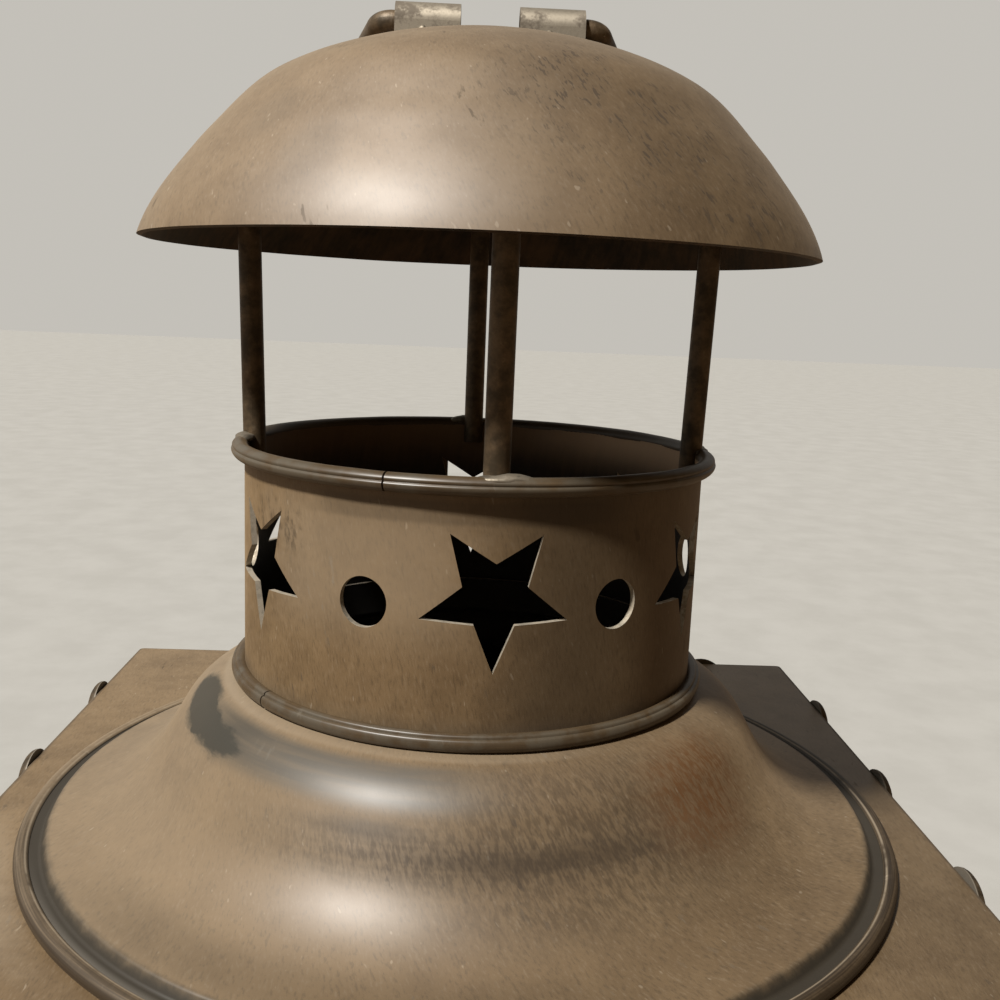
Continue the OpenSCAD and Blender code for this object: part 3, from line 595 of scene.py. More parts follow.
def pick_edges(piece, chosen):
    """Selects the edges whose two ends pass a test and leaves the piece in edit mode."""
    pick_nothing(piece, "EDGE")
    spots = [corner.co / MM for corner in piece.data.vertices]
    for edge in piece.data.edges:
        edge.select = chosen(*(spots[i] for i in edge.vertices))
    edit()


def repaint(piece, finish, chosen):
    """Gives another finish to the faces that pass a test."""
    piece.data.materials.append(finish)
    pick_faces(piece, chosen)
    piece.active_material_index = len(piece.data.materials) - 1
    bpy.ops.object.material_slot_assign()
    leave()


def apply(piece, kind, **settings):
    """Adds a modifier, sets it up and applies it."""
    take(piece)
    added = piece.modifiers.new(kind.lower(), kind)
    for key, value in settings.items():
        setattr(added, key, value)
    bpy.ops.object.modifier_apply(modifier=added.name)


def waver(piece, depth, size):
    """Moves the surface in and out by up to half the depth, in waves of that size, in millimetres."""
    clouds = bpy.data.textures.new(piece.name + "_waves", "CLOUDS")
    clouds.noise_scale = size * MM
    apply(piece, "DISPLACE", texture=clouds, strength=depth * MM, mid_level=0.5)


def about_axis(degrees):
    """A turn about the upright axis of the lantern."""
    return Matrix.Rotation(math.radians(degrees), 4, "Z")


def copied(piece, place):
    """A copy of a piece with a mesh of its own, moved by a matrix."""
    take(piece)
    bpy.ops.object.duplicate()
    copy = bpy.context.object
    copy.matrix_world = place
    fix_place()
    return copy


print("finishing helpers ready")

# %% [markdown]
# ## The cap
#
# The cap is a flat crown that runs into a rounder haunch, with a plain cut edge. Two arcs that share
# a tangent give the outside, and the same arcs one sheet deeper give the inside, so the spun piece
# is a closed shell. The haunch is a little flatter than a true arc, which is what pulls the highlight
# down to the rim, and the crown leans half a millimetre to the right. Sheet that was spun by hand is
# never quite true either, so slow waves bend the highlight. The dark flecks gather at the front right.

# %% Spin the cap
CROWN_RADIUS, HAUNCH_RADIUS, CROWN_ANGLE, EDGE_SLOPE = 80, 46, 22, 72.5
CAP_SHEET, CAP_LEAN, CROWN_STEPS, HAUNCH_STEPS = 0.8, 0.45, 16, 40
INNER_MIDDLE = 20
FLATTER, FLAT_FROM, FLAT_FULL, FLAT_UNTIL = 1.15, 30, 47, 52
CROWN_MIDDLE = CROWN_TOP - CROWN_RADIUS


def ease(value, low, high):
    """A smooth step from 0 at low to 1 at high, on plain numbers."""
    share = min(max((value - low) / (high - low), 0), 1)
    return share * share * (3 - 2 * share)


def dome(inset):
    """Points of the dome from the axis to the rim, one inset inside the outer face."""
    offset = CROWN_RADIUS - HAUNCH_RADIUS
    join = math.radians(CROWN_ANGLE)
    middle, high = offset * math.sin(join), CROWN_MIDDLE + offset * math.cos(join)
    points = arc(0, CROWN_MIDDLE, CROWN_RADIUS - inset, 0, CROWN_ANGLE, CROWN_STEPS)
    for i in range(1, HAUNCH_STEPS + 1):
        slope = CROWN_ANGLE + (EDGE_SLOPE - CROWN_ANGLE) * i / HAUNCH_STEPS
        flat = FLATTER * ease(slope, FLAT_FROM, FLAT_FULL) * (1 - ease(slope, FLAT_UNTIL, EDGE_SLOPE))
        points += arc(middle, high, HAUNCH_RADIUS - inset - flat, slope, slope, 1)[:1]
    return points


def cap_marks(g, s, colour):
    """Dark strokes in two zones of the haunch, faint smudges at its left and painted shade on its right side.
    """
    stroke = noise(g, s.strokes(g, 4), 0.65, 2, 0.6, 11.0)
    gathered = rise(g, noise(g, s.place, 4.5, 2, 0.5, 15.0), 0.45, 0.57)
    zone = smudge(g, s, 17, 42, 17, 9, 0.8, 12.0, 0.6) + smudge(g, s, 38, 51, 16, 7, 0.8, 12.5, 0.6)
    zone = g.maths("MINIMUM", zone, 1.0)
    worn = rise(g, stroke, 0.55, 0.61) * gathered * zone
    faint = smudge(g, s, -27, 51, 5, 3, 1.0, 13.0, 0.5) + smudge(g, s, -41, 46, 5, 3, 1.0, 14.0, 0.5)
    # The first two shares are painted shade, darker towards the right side, away from the lamp.
    shares = (band(g, s.side, 40, 150, 30) * 0.36, rise(g, s.side, -22, 14) * 0.20,
              faint * 0.15 + gathered * zone * 0.12, worn * 0.80)
    return layered(g, colour, *((share, UMBER) for share in shares)), worn * 0.5


cap = turned("cap_shell", dome(0) + dome(CAP_SHEET)[::-1])
for corner in cap.data.vertices:
    corner.co.x += CAP_LEAN * (corner.co.z - CAP_EDGE * MM) / (CROWN_TOP - CAP_EDGE)
waver(cap, depth=0.2, size=30)
cap.data.materials.append(antique_paint("cap_paint", "round", cap_marks, gloss=0.86, gloss_rough=0.52))
inner_dome = Vector((0, 0, CAP_EDGE - INNER_MIDDLE)) * MM
repaint(cap, smoke_and_shade_film, lambda face: face.normal.dot(face.center - inner_dome) < 0)
settle(cap, None, "cap")

# %% [markdown]
# ## The bell
#
# Under the collar the roof swells out in an ogee: a tight shoulder, a short steep slope, a cove, a
# flat flange, a sunk channel and a rim rolled round a wire. Only the slope changes along such a line,
# so it is walked in runs and turns, and a point is kept at each step. Keeping it one sheet deeper
# gives the inner face.

# %% Draw the bell
BELL_SHEET, LEDGE_RADIUS, NECK_RADIUS = 0.7, 40.975, 39.3
LIP_HEIGHT, CHANNEL_HEIGHT, ROLL_RADIUS, SEATED = 3.5, 1.8, 1.3, 0.12
LEDGE_SLOPE, STEEP, FLANGE_SLOPE, BEND_STEP = 8, 60, 14, 2.5
SHOULDER_BEND, STEEP_RUN, COVE_BEND, FLANGE_RUN, SMALL_BEND = 13.3, 6.15, 24, 4, 0.8
ROLL_MIDDLE, ROLL_HEIGHT = BELL_REACH - ROLL_RADIUS, ROOF_TOP + ROLL_RADIUS - SEATED
CHANNEL_TOP = ROOF_TOP + CHANNEL_HEIGHT


def walk(radius, height, slope, moves, inset):
    """Follows (length,) runs and (radius, slope) turns down from a point, one inset under the line."""
    points = []
    for move in moves:
        if len(move) == 1:
            steps, bend, stride = 1, 0.0, move[0]
        else:
            steps = max(3, round(abs(move[1] - slope) / BEND_STEP))
            bend = (move[1] - slope) / steps
            stride = 2 * move[0] * math.sin(math.radians(abs(bend)) / 2)
        for _ in range(steps):
            along = math.radians(slope + bend / 2)
            radius, height = radius + stride * math.cos(along), height - stride * math.sin(along)
            slope += bend
            square = math.radians(slope)
            points.append((radius - inset * math.sin(square), height - inset * math.cos(square)))
    return points


lip_bend = SMALL_BEND * math.tan(math.radians(STEEP - FLANGE_SLOPE) / 2)
floor_bend = SMALL_BEND * math.tan(math.radians(STEEP) / 2)
fall = (LIP_HEIGHT - CHANNEL_HEIGHT) / math.sin(math.radians(STEEP))
rolled_start = ROLL_MIDDLE - math.sqrt(ROLL_RADIUS ** 2 - (CHANNEL_TOP - ROLL_HEIGHT) ** 2)
down_bell = [(SHOULDER_BEND, STEEP), (STEEP_RUN,), (COVE_BEND, FLANGE_SLOPE), (FLANGE_RUN - lip_bend,),
             (SMALL_BEND, STEEP), (fall - lip_bend - floor_bend,), (SMALL_BEND, 0)]
ledge = (LEDGE_RADIUS, COLLAR_SEAT)


def ogee(inset):
    """Points of the bell from the ledge to the rim roll, one inset under the outer face."""
    square = math.radians(LEDGE_SLOPE)
    first = (ledge[0] - inset * math.sin(square), ledge[1] - inset * math.cos(square))
    return [first] + walk(*ledge, LEDGE_SLOPE, down_bell, inset) + [(rolled_start, CHANNEL_TOP - inset)]


climb = math.degrees(math.asin((CHANNEL_TOP - ROLL_HEIGHT) / ROLL_RADIUS))
tucked = math.degrees(math.asin((CHANNEL_TOP - BELL_SHEET - ROLL_HEIGHT) / ROLL_RADIUS))
rim_roll = [(radius, max(high, ROOF_TOP))
            for radius, high in arc(ROLL_MIDDLE, ROLL_HEIGHT, ROLL_RADIUS, climb - 90, 270 + tucked, 30)]
bell_outline = ([(NECK_RADIUS - BELL_SHEET, NECK_TOP), (NECK_RADIUS, NECK_TOP), (NECK_RADIUS, COLLAR_SEAT)]
                + ogee(0) + rim_roll + ogee(BELL_SHEET)[::-1]
                + [(NECK_RADIUS - BELL_SHEET, COLLAR_SEAT - BELL_SHEET)])
print("bell outline", len(bell_outline), "points, foot at", [round(v, 2) for v in ogee(0)[-2]])

# %% [markdown]
# ## The marks on the bell
#
# The channel is full of matt grime, with a ragged edge where the paint stops, and a painted sheen
# on the grime towards the roll at the front left. The roll is dark, with a thin painted highlight
# line along it. A bare grey patch at the left of the shoulder runs out to the right in a grey rub.
# The steep slope in front is stained dark in smears, and a patch at its right is rusty. Painted light
# makes the left side and the ledge under the bead paler, and painted shade dims the front of the flange.

# %% Spin the bell and paint it
BELL_GREY = (0.230, 0.195, 0.155, 1)
RUB_LIGHT, RUB_DARK = (0.115, 0.107, 0.093, 1), (0.058, 0.053, 0.043, 1)
# The second grime colour is a painted sheen on the grime in the channel.
DREGS, DREGS_SHEEN = (0.026, 0.0215, 0.0150, 1), (0.105, 0.095, 0.080, 1)


def bell_marks(g, s, colour):
    """Grime with a painted sheen in the channel, a dark roll with a painted highlight line, a grey patch and
    rub, dark smears, a rusty patch, painted light at the left and painted shade on the flange.
    """
    ragged = (noise(g, s.place, 2.5, 4, 0.6, 7.0) - 0.5) * 1.2
    on_roll = rise(g, s.r, ROLL_MIDDLE - 1.1, ROLL_MIDDLE - 0.9)
    grime = rise(g, s.r + ragged, 71.7, 73.3) * (1 - on_roll)
    smear = rise(g, noise(g, s.smears(g, 9), 1.8, 2, 0.5, 10.0), 0.30, 0.66)
    stroke = rise(g, noise(g, s.strokes(g, 5), 0.45, 2, 0.6, 12.0), 0.40, 0.62)
    # Painted light: the left side of the bell, which faces the lamp, is paler.
    left = 1 - rise(g, s.side, -60, -5)
    rub = band(g, s.side, -62, 0, 13) * band(g, s.r, 44.6, 50.0, 1.0) * (0.70 + smear * 0.30)
    bare = (smudge(g, s, -74, 46.4, 9, 2.4, 1.0, 9.0) + smudge(g, s, -67, 47.8, 8, 2.3, 1.0, 9.3)
            + smudge(g, s, -56, 48.6, 10, 1.7, 1.4, 9.5))
    bare = g.maths("MINIMUM", bare, 1.0)
    cloud = smudge(g, s, 20, 52.5, 27, 8.0, 0.6, 13.0, 0.6)
    slope = band(g, s.side, -30, 36, 18) * band(g, s.r, 51.4, 55.0, 1.3)
    stain = slope * (0.25 + smear * 0.35 + stroke * 0.4)
    line = smudge(g, s, 12, 53.3, 16, 0.8, 1.0, 10.5, 0.7) + smudge(g, s, -16, 51.6, 8, 0.6, 1.0, 10.7, 0.7)
    rusty = smudge(g, s, 46, 50.4, 12, 5.0, 1.0, 11.0, 0.6) * (0.45 + stroke * 0.55)
    # Painted light on the ledge under the lower bead, which faces up into the lamp.
    ledge_light = band(g, s.r, 41.2, 43.6, 0.5) * (1 - rise(g, s.side, 0, 40))
    near_patch = 1 - rise(g, s.side, -58, -18)
    # Painted shade that dims the front of the flange.
    foot = band(g, s.r, 64.5, 71.5, 2.0) * band(g, s.side, -52, 20, 12)

    on_front = rise(g, s.side, -100, -70)
    outer = rise(g, s.r, ROLL_MIDDLE + 0.7, ROLL_MIDDLE + 1.2)
    lines = noise(g, s.smears(g, 25), 0.35, 2, 0.5, 8.5)
    tarnish = 0.42 + rise(g, s.side, 0, 60) * 0.28 + rise(g, lines, 0.40, 0.60) * 0.28
    # A painted highlight: a thin bright line along the top of the roll.
    rubbed = band(g, s.r, ROLL_MIDDLE - 0.75, ROLL_MIDDLE - 0.45, 0.15)
    rubbed = rubbed * rise(g, noise(g, s.place, 7, 3, 0.6, 8.0), 0.30, 0.52)
    # Painted sheen: the grime in the channel is paler towards the roll at the front left.
    channel_sheen = rise(g, s.r, 73.8, 75.2) * band(g, s.side, -58, 0, 14)

    colour = layered(
        g, colour, (0.16, BELL_GREY), (left * 0.22, CREAM), (ledge_light * 0.30, CREAM),
        (rub * 0.85, blend(g, near_patch, RUB_LIGHT, RUB_DARK)), (foot * 0.18, UMBER), (bare * 0.92, SLATE),
        (cloud * (0.24 + stroke * 0.28), UMBER), (stain * 0.78, UMBER), (line * 0.40, UMBER),
        (rusty * 0.88, RUST), (on_roll * on_front * tarnish, UMBER), (outer * on_front * 0.75, UMBER),
        (rubbed * 0.7, CREAM), (grime * 0.95, blend(g, channel_sheen, DREGS, DREGS_SHEEN)))
    dull = stain * 0.4 + cloud * 0.2 + rusty * 0.3 + bare * 0.3
    return colour, g.maths("MAXIMUM", grime * 0.25, dull)


bell = turned("bell_shell", bell_outline + bell_outline[:1])
waver(bell, depth=0.2, size=26)
bell_paint = antique_paint("bell_paint", "round", bell_marks, grain=1.2, gloss=0.44, gloss_rough=0.45)
bell.data.materials.append(bell_paint)


def bell_inside(face):
    """True under the bell, up to its roll, and on the inner face of its neck."""
    out = face.center.xy.length / MM
    return face.normal.z < -0.05 and out < ROLL_MIDDLE - 1 or out < NECK_RADIUS - BELL_SHEET + 0.05


repaint(bell, smoke_and_shade_film, bell_inside)
repaint(bell, cut_edge, lambda face: face.normal.z > 0.9 and face.center.z > (NECK_TOP - 0.05) * MM)
settle(bell, None, "bell")

# %% [markdown]
# ## The punches of the collar
#
# The collar has six stars and six round holes, spaced by eye. Each punch is a real solid that a
# Boolean takes away from the sheet. The punches carry the finish of bare cut metal, and the Boolean
# hands it on to the cut faces, as it is on the real sheet.

# %% Make the punches
COLLAR_RADIUS, COLLAR_SHEET = 40, 0.65
STAR_TIP, STAR_WAIST, STAR_RISE = 11.6, 5.1, 23.2
HOLE_WIDTH, HOLE_RISE, PUNCH_LONG = 7.8, 21.2, 8
STAR_SIDES = (4.6, 62, 121, 179.5, 241, 302)
HOLE_SIDES = (33, 92, 151, 210, 271, 336)


def punch(name, corners, radii, rise_up, at):
    """A prism that stands out through the collar at that side, with those corner radii."""
    deselect()
    bpy.ops.mesh.primitive_circle_add(vertices=corners, radius=MM, fill_type="NGON")
    tool = bpy.context.object
    tool.name = name
    for i, corner in enumerate(tool.data.vertices):
        corner.co *= radii[i % len(radii)]
    edit()
    take_all()
    bpy.ops.mesh.extrude_region_move(TRANSFORM_OT_translate={"value": (0, 0, PUNCH_LONG * MM)})
    face_outwards()
    stand = Matrix.Rotation(math.radians(90), 4, "X")
    sit = Matrix.Translation(Vector((0, PUNCH_LONG / 2 - COLLAR_RADIUS, COLLAR_SEAT + rise_up)) * MM)
    tool.matrix_world = about_axis(at) @ sit @ stand
    fix_place()
    tool.data.materials.append(cut_edge)
    return tool


def joined(pieces, name):
    """Joins pieces into one."""
    deselect()
    for piece in pieces:
        piece.select_set(True)
    bpy.context.view_layer.objects.active = pieces[0]
    bpy.ops.object.join()
    pieces[0].name = name
    return pieces[0]


stars = [punch("star_punch", 10, (STAR_WAIST, STAR_TIP), STAR_RISE, at) for at in STAR_SIDES]
holes = [punch("hole_punch", 48, (HOLE_WIDTH / 2,), HOLE_RISE, at) for at in HOLE_SIDES]
punches = joined(stars + holes, "punches")
print("punches", len(STAR_SIDES) + len(HOLE_SIDES))

# %% [markdown]
# ## The collar
#
# The collar is a strip of sheet rolled to a tube and soldered with a lap at the back. The tube is
# spun with many rows, so that the Boolean leaves small faces and the shading stays even. The punches
# drew the edges of the cuts inwards, which makes them look thicker than the sheet, so the wall is
# thicker on its inside there. Inside it is black with smoke and painted shade, with a band of painted
# light at the top. Grime has gathered at the lower bead, and the sheet is scuffed at the left. Painted
# shade lies under the upper bead and on the right side, and painted light on the front left.

# %% Roll the collar and punch it
BEAD_RADIUS = 1.45
BEAD_MIDDLE = COLLAR_REACH - BEAD_RADIUS
BEAD_LOW, BEAD_HIGH = COLLAR_SEAT + BEAD_RADIUS - SEATED, COLLAR_TOP - BEAD_RADIUS
LAP_SIDE, LAP_ANGLE, LAP_IN, LAP_OUT, LAP_SHORT = 195.5, 8, 0.1, 0.45, 1.1
ROWS, DRAWN, DRAWN_FROM, DRAWN_UNTIL = 24, 0.3, (8.5, 11), (35.5, 37.5)


def collar_marks(g, s, colour):
    """Grime at the foot, a scuff, painted light on the front left and painted shade at the right and under
    the upper bead.
    """
    ragged = (noise(g, s.place, 5, 4, 0.65, 7.0) - 0.5) * 6
    grime = 1 - rise(g, s.z + ragged, BEAD_LOW + 0.5, BEAD_LOW + 4.5)
    scuffed = smudge(g, s, -50, COLLAR_RADIUS, 9, 60, 1.2, 8.0)
    scuffed = scuffed * band(g, s.z, COLLAR_SEAT + 27, COLLAR_SEAT + 34, 2)
    scuffed = scuffed * rise(g, noise(g, s.strokes(g, 2), 1.2, 4, 0.6, 9.0), 0.46, 0.66)
    # Painted light on the front left of the collar, where the lamp falls.
    painted_light_front = smudge(g, s, -25, COLLAR_RADIUS, 25, 60, 0.9, 10.0, 0.5)
    painted_light_front = painted_light_front * band(g, s.z, COLLAR_SEAT + 17, COLLAR_SEAT + 36, 6)
    # Painted shade on the right side of the collar, away from the lamp.
    painted_shade_right = rise(g, s.side + ragged * 2, -4, 18) * (1 - rise(g, s.side, 22, 46) * 0.5)
    painted_shade_right = painted_shade_right * (1 - rise(g, s.side, 120, 160))
    shaded = band(g, s.z + ragged * 0.08, BEAD_HIGH - 5.8, BEAD_HIGH - 2.4, 0.5) * band(g, s.side, -36, 30, 8)
    colour = layered(g, colour, (painted_light_front * 0.34, CREAM), (painted_shade_right * 0.60, UMBER), (shaded * 0.30, UMBER),
                     (grime * 0.45, UMBER), (scuffed * 0.55, UMBER))
    return colour, grime * 0.35


def drawn_in(high):
    """How far the punches drew the sheet inwards, at that height above the seat."""
    return DRAWN * ease(high, *DRAWN_FROM) * (1 - ease(high, *DRAWN_UNTIL))


collar_paint = antique_paint("collar_paint", "round", collar_marks, gloss=0.4)
wall_out = [(COLLAR_RADIUS, BEAD_LOW + (BEAD_HIGH - BEAD_LOW) * i / ROWS) for i in range(ROWS + 1)]
wall_in = [(COLLAR_RADIUS - COLLAR_SHEET - drawn_in(high - COLLAR_SEAT), high) for _, high in wall_out[::-1]]
collar = turned("collar_sheet", wall_out + wall_in + wall_out[:1], steps=240)
collar.data.materials.append(collar_paint)
inner_wall = (COLLAR_RADIUS - COLLAR_SHEET + 0.1) * MM
repaint(collar, smoke_and_shade_film, lambda face: face.center.xy.length < inner_wall)
apply(collar, "BOOLEAN", operation="DIFFERENCE", solver="EXACT", material_mode="TRANSFER", object=punches)
bpy.data.objects.remove(punches)
settle(collar, None, "collar", smooth=25)

lap_in, lap_out = COLLAR_RADIUS - LAP_IN, COLLAR_RADIUS + LAP_OUT
lap_low, lap_high = BEAD_LOW + LAP_SHORT, BEAD_HIGH - LAP_SHORT
lap_outline = [(lap_in, lap_low), (lap_out, lap_low), (lap_out, lap_high), (lap_in, lap_high)]
lap = turned("collar_lap", lap_outline + lap_outline[:1], steps=12, sweep=LAP_ANGLE, start=LAP_SIDE - 90)
settle(lap, collar_paint, "collar")

# %% [markdown]
# ## The wired beads
#
# Each end of the collar is rolled round a wire. The edge of the roll shows as a fine crease along the
# bead, so its round outline gets a small dip. The roll was closed with a butt joint, which still shows
# as a nick, so the bead is spun a little short of a full turn. The paint has rubbed off the crown of
# the bead down to grey metal.

# %% Spin the beads
BEAD_BARE = (0.130, 0.115, 0.088, 1)
CREASE_DEPTH, CREASE_HALF, NICK = 0.28, 9, 0.4


def bead_marks(g, s, colour):
    """Dark streaks along the bead, and grey metal on its crown."""
    crown = rise(g, s.r, BEAD_MIDDLE - 0.5, BEAD_MIDDLE + 0.5)
    rubbed = rise(g, noise(g, s.place, 5, 4, 0.65, 9.0), 0.40, 0.60) * crown
    streak = noise(g, s.smears(g, 18), 0.5, 2, 0.5, 10.0)
    return layered(g, colour, (0.40 + streak * 0.50, UMBER), (rubbed * 0.6, BEAD_BARE)), 0.0


bead_paint = antique_paint("bead_paint", "round", bead_marks, grain=0.5, gloss=0.5, gloss_rough=0.40)
for name, height, joint, crease in (("bead_high", BEAD_HIGH, -19, 78), ("bead_low", BEAD_LOW, -52, 42)):
    round_bead = []
    for angle in range(0, 361, 6):
        dip = CREASE_DEPTH * math.exp(-((angle - crease) / CREASE_HALF) ** 2)
        round_bead += arc(BEAD_MIDDLE, height, BEAD_RADIUS - dip, angle, angle, 1)[:1]
    if name == "bead_low":
        round_bead = [(radius, max(high, COLLAR_SEAT)) for radius, high in round_bead]
    bead = turned(name, round_bead, steps=240, sweep=360 - NICK, start=joint - 90 + NICK / 2)
    waver(bead, depth=0.12, size=9)
    settle(bead, bead_paint, "collar")

# %% [markdown]
# ## Solder
#
# The posts stand on the upper bead in a smear of solder, and the straps of the bail are soldered to
# the crown. A drop of solder is a ball pressed flat and made lumpy, so one is shaped and copied, each
# copy turned and stretched to its place.

# %% Drop the solder
POST_SIDES, POST_SMEARS = (4, 91, 180, 271), (4.6, 3.6, 3.8, 4.2)
SMEAR_CIRCLE, SMEAR_AHEAD, SMEAR_SUNK, SMEAR_DEEP, SMEAR_HIGH = 40.3, 2, 0.45, 1.7, 0.9
STRAP_SPOTS, STRAP_SIDE = ((-11.1, 0.5), (9.7, 0.3)), 3.45
STRAP_FRONT, STRAP_REAR = (1.3, 0.7, 1.4), (1.8, 0.8, 1.1)

deselect()
bpy.ops.mesh.primitive_ico_sphere_add(subdivisions=3, radius=MM)
drop_of_solder = bpy.context.object
waver(drop_of_solder, depth=0.5, size=0.9)


def drop(at, size, side):
    """A copy of the drop at a place, with half sizes along, out and up, turned to a side."""
    place = Matrix.Translation(Vector(at) * MM) @ about_axis(side) @ Matrix.Diagonal((*size, 1))
    return copied(drop_of_solder, place)


drops = []
for side, long in zip(POST_SIDES, POST_SMEARS):
    aim = math.radians(side + SMEAR_AHEAD)
    spot = (SMEAR_CIRCLE * math.sin(aim), -SMEAR_CIRCLE * math.cos(aim), COLLAR_TOP - SMEAR_SUNK)
    drops.append(drop(spot, (long, SMEAR_DEEP, SMEAR_HIGH), side))
for middle, low in STRAP_SPOTS:
    drops.append(drop((middle, -STRAP_SIDE, CROWN_TOP - low), STRAP_FRONT, 0))
    drops.append(drop((middle, STRAP_SIDE, CROWN_TOP - low), STRAP_REAR, 0))
bpy.data.objects.remove(drop_of_solder)
settle(joined(drops, "solder"), solder_grey, slot="bare_steel", smooth=60)

# %% [markdown]
# ## Roof and plinth
#
# Both are square trays folded from one sheet: a flat top and four edges turned down. A cube without
# its floor has that shape. Its upright edges are bevelled for the plan corners, the top edges for the
# fold, and Solidify gives the sheet its thickness. A smoke hole opens the roof under the bell.

# %% Fold the trays
PLAN_CORNER, FOLD, ROOF_SHEET, PLINTH_SHEET, SMOKE_HOLE = 1.4, 0.9, 0.9, 1.0, 36


def tray(name, half, top, low, sheet):
    """A square sheet with turned-down edges, at those heights."""
    deselect()
    bpy.ops.mesh.primitive_cube_add(size=1, location=(0, 0, (top + low) / 2 * MM),
                                    scale=(2 * half * MM, 2 * half * MM, (top - low) * MM))
    fix_place()
    piece = bpy.context.object
    piece.name = name
    pick_faces(piece, lambda face: face.normal.z < -0.5)
    bpy.ops.mesh.delete(type="FACE")
    leave()
    pick_edges(piece, lambda a, b: abs(a.z - b.z) > 1)
    bpy.ops.mesh.bevel(offset=PLAN_CORNER * MM, segments=4, affect="EDGES")
    leave()
    pick_edges(piece, lambda a, b: min(a.z, b.z) > top - 0.01)
    bpy.ops.mesh.bevel(offset=FOLD * MM, segments=3, affect="EDGES")
    leave()
    apply(piece, "SOLIDIFY", thickness=sheet * MM, offset=-1, use_even_offset=True)
    return piece


def tray_marks(half, top):
    """Marks for a tray: a dark line on the fold and grey scrapes on the turned-down edges."""
    def marks(g, s, colour):
        out = s.from_middle(g, "MAXIMUM")
        worn = noise(g, s.place, 6, 3, 0.6, 5.5)
        fold = rise(g, out + (worn - 0.5) * 0.8, half - 1.3, half - 0.7) * rise(g, s.z, top - 2.2, top - 1.2)
        scrape = rise(g, out, half - 0.4, half - 0.1) * rise(g, noise(g, s.place, 4, 4, 0.7, 6.0), 0.60, 0.66)
        return layered(g, colour, (fold * 0.72, UMBER), (scrape * 0.4, SLATE)), fold * 0.5
    return marks


def roof_marks(g, s, colour):
    """The marks of a tray, dust beside the rolled rim and painted shade on the right side."""
    dusty = smudge(g, s, -66, 82, 16, 4, 0.8, 16.0, 0.5)
    # The first share is painted shade, darker towards the right away from the lamp; the second is dust.
    colour = layered(g, colour, (rise(g, s.x, 30, 85) * 0.30, UMBER), (dusty * 0.30, CREAM))
    return tray_marks(ROOF_HALF, ROOF_TOP)(g, s, colour)


roof = tray("roof_plate", ROOF_HALF, ROOF_TOP, ROOF_SKIRT, ROOF_SHEET)
deselect()
bpy.ops.mesh.primitive_cylinder_add(vertices=96, radius=SMOKE_HOLE * MM, depth=6 * MM,
                                    location=(0, 0, ROOF_TOP * MM))
smoke_hole = bpy.context.object
apply(roof, "BOOLEAN", operation="DIFFERENCE", solver="EXACT", object=smoke_hole)
bpy.data.objects.remove(smoke_hole)
roof.data.materials.clear()
settle(roof, antique_paint("roof_paint", "flat", roof_marks), "roof")
plinth = tray("plinth_tray", PLINTH_HALF, PLINTH_TOP, PLINTH_SKIRT, PLINTH_SHEET)
settle(plinth, antique_paint("plinth_paint", "flat", tray_marks(PLINTH_HALF, PLINTH_TOP)), "plinth")

# %% [markdown]
# ## The studs
#
# Low pressed studs sit on the turned-down edges of the roof, four to a side. One is spun from its
# outline, shank included, turned onto its side and copied to each place. The rows are those of the
# packed studs: a pitch apart, the first a margin in from the rear edge.

# %% Press the studs
STUD_RADIUS, STUD_HEIGHT, SHANK_RADIUS, SHANK_TAIL = 6.7, 2.5, 1.6, 1.7
STUD_PITCH, STUD_MARGIN, STUD_DROP, STUD_FULL = 39.8, 30.4, 5.6, 0.85
quarter = [math.radians(degrees) for degrees in range(90, -1, -10)]
stud_outline = [(STUD_RADIUS * math.cos(t) ** STUD_FULL, STUD_HEIGHT * math.sin(t) ** STUD_FULL)
                for t in quarter]
stud_outline += [(SHANK_RADIUS, 0), (SHANK_RADIUS, -SHANK_TAIL), (0, -SHANK_TAIL)]
first_stud = turned("stud", stud_outline, steps=40)
on_side = Matrix.Rotation(math.radians(90), 4, "Y")
studs = []
for angle in (0, 90, 180, 270):
    for i in range(4):
        along = (ROOF_HALF - STUD_MARGIN - i * STUD_PITCH) * (-1 if angle == 180 else 1)
        spot = Vector((ROOF_HALF, along, ROOF_TOP - STUD_DROP)) * MM
        studs.append(copied(first_stud, about_axis(angle) @ Matrix.Translation(spot) @ on_side))
bpy.data.objects.remove(first_stud)
settle(joined(studs, "edge_studs"), stud_metal, "roof_studs", slot="dark_trim")

# %% [markdown]
# ## Walls and door
#
# Each wall is a sheet with a round-cornered window and a pressed rib round it. The work starts at the
# window: its edge is extruded outwards ring by ring, each ring lifted to the height of the rib there.
# The last ring is far too large and is cut to size by four planes. The door is the same sheet with
# its edges folded back into a pan.

# %% Press the sheets
RIB = ((0.7, 0.45), (1.6, 0.75), (2.6, 0.85), (3.6, 0.75), (4.5, 0.45), (5.2, 0.0))
WINDOW, WINDOW_CORNER, WINDOW_MID = (112, 140), 6, (PLINTH_TOP + ROOF_SKIRT) / 2
WALL_HALF, WALL_FACE, WALL_SHEET = 74.1, 75, 0.9


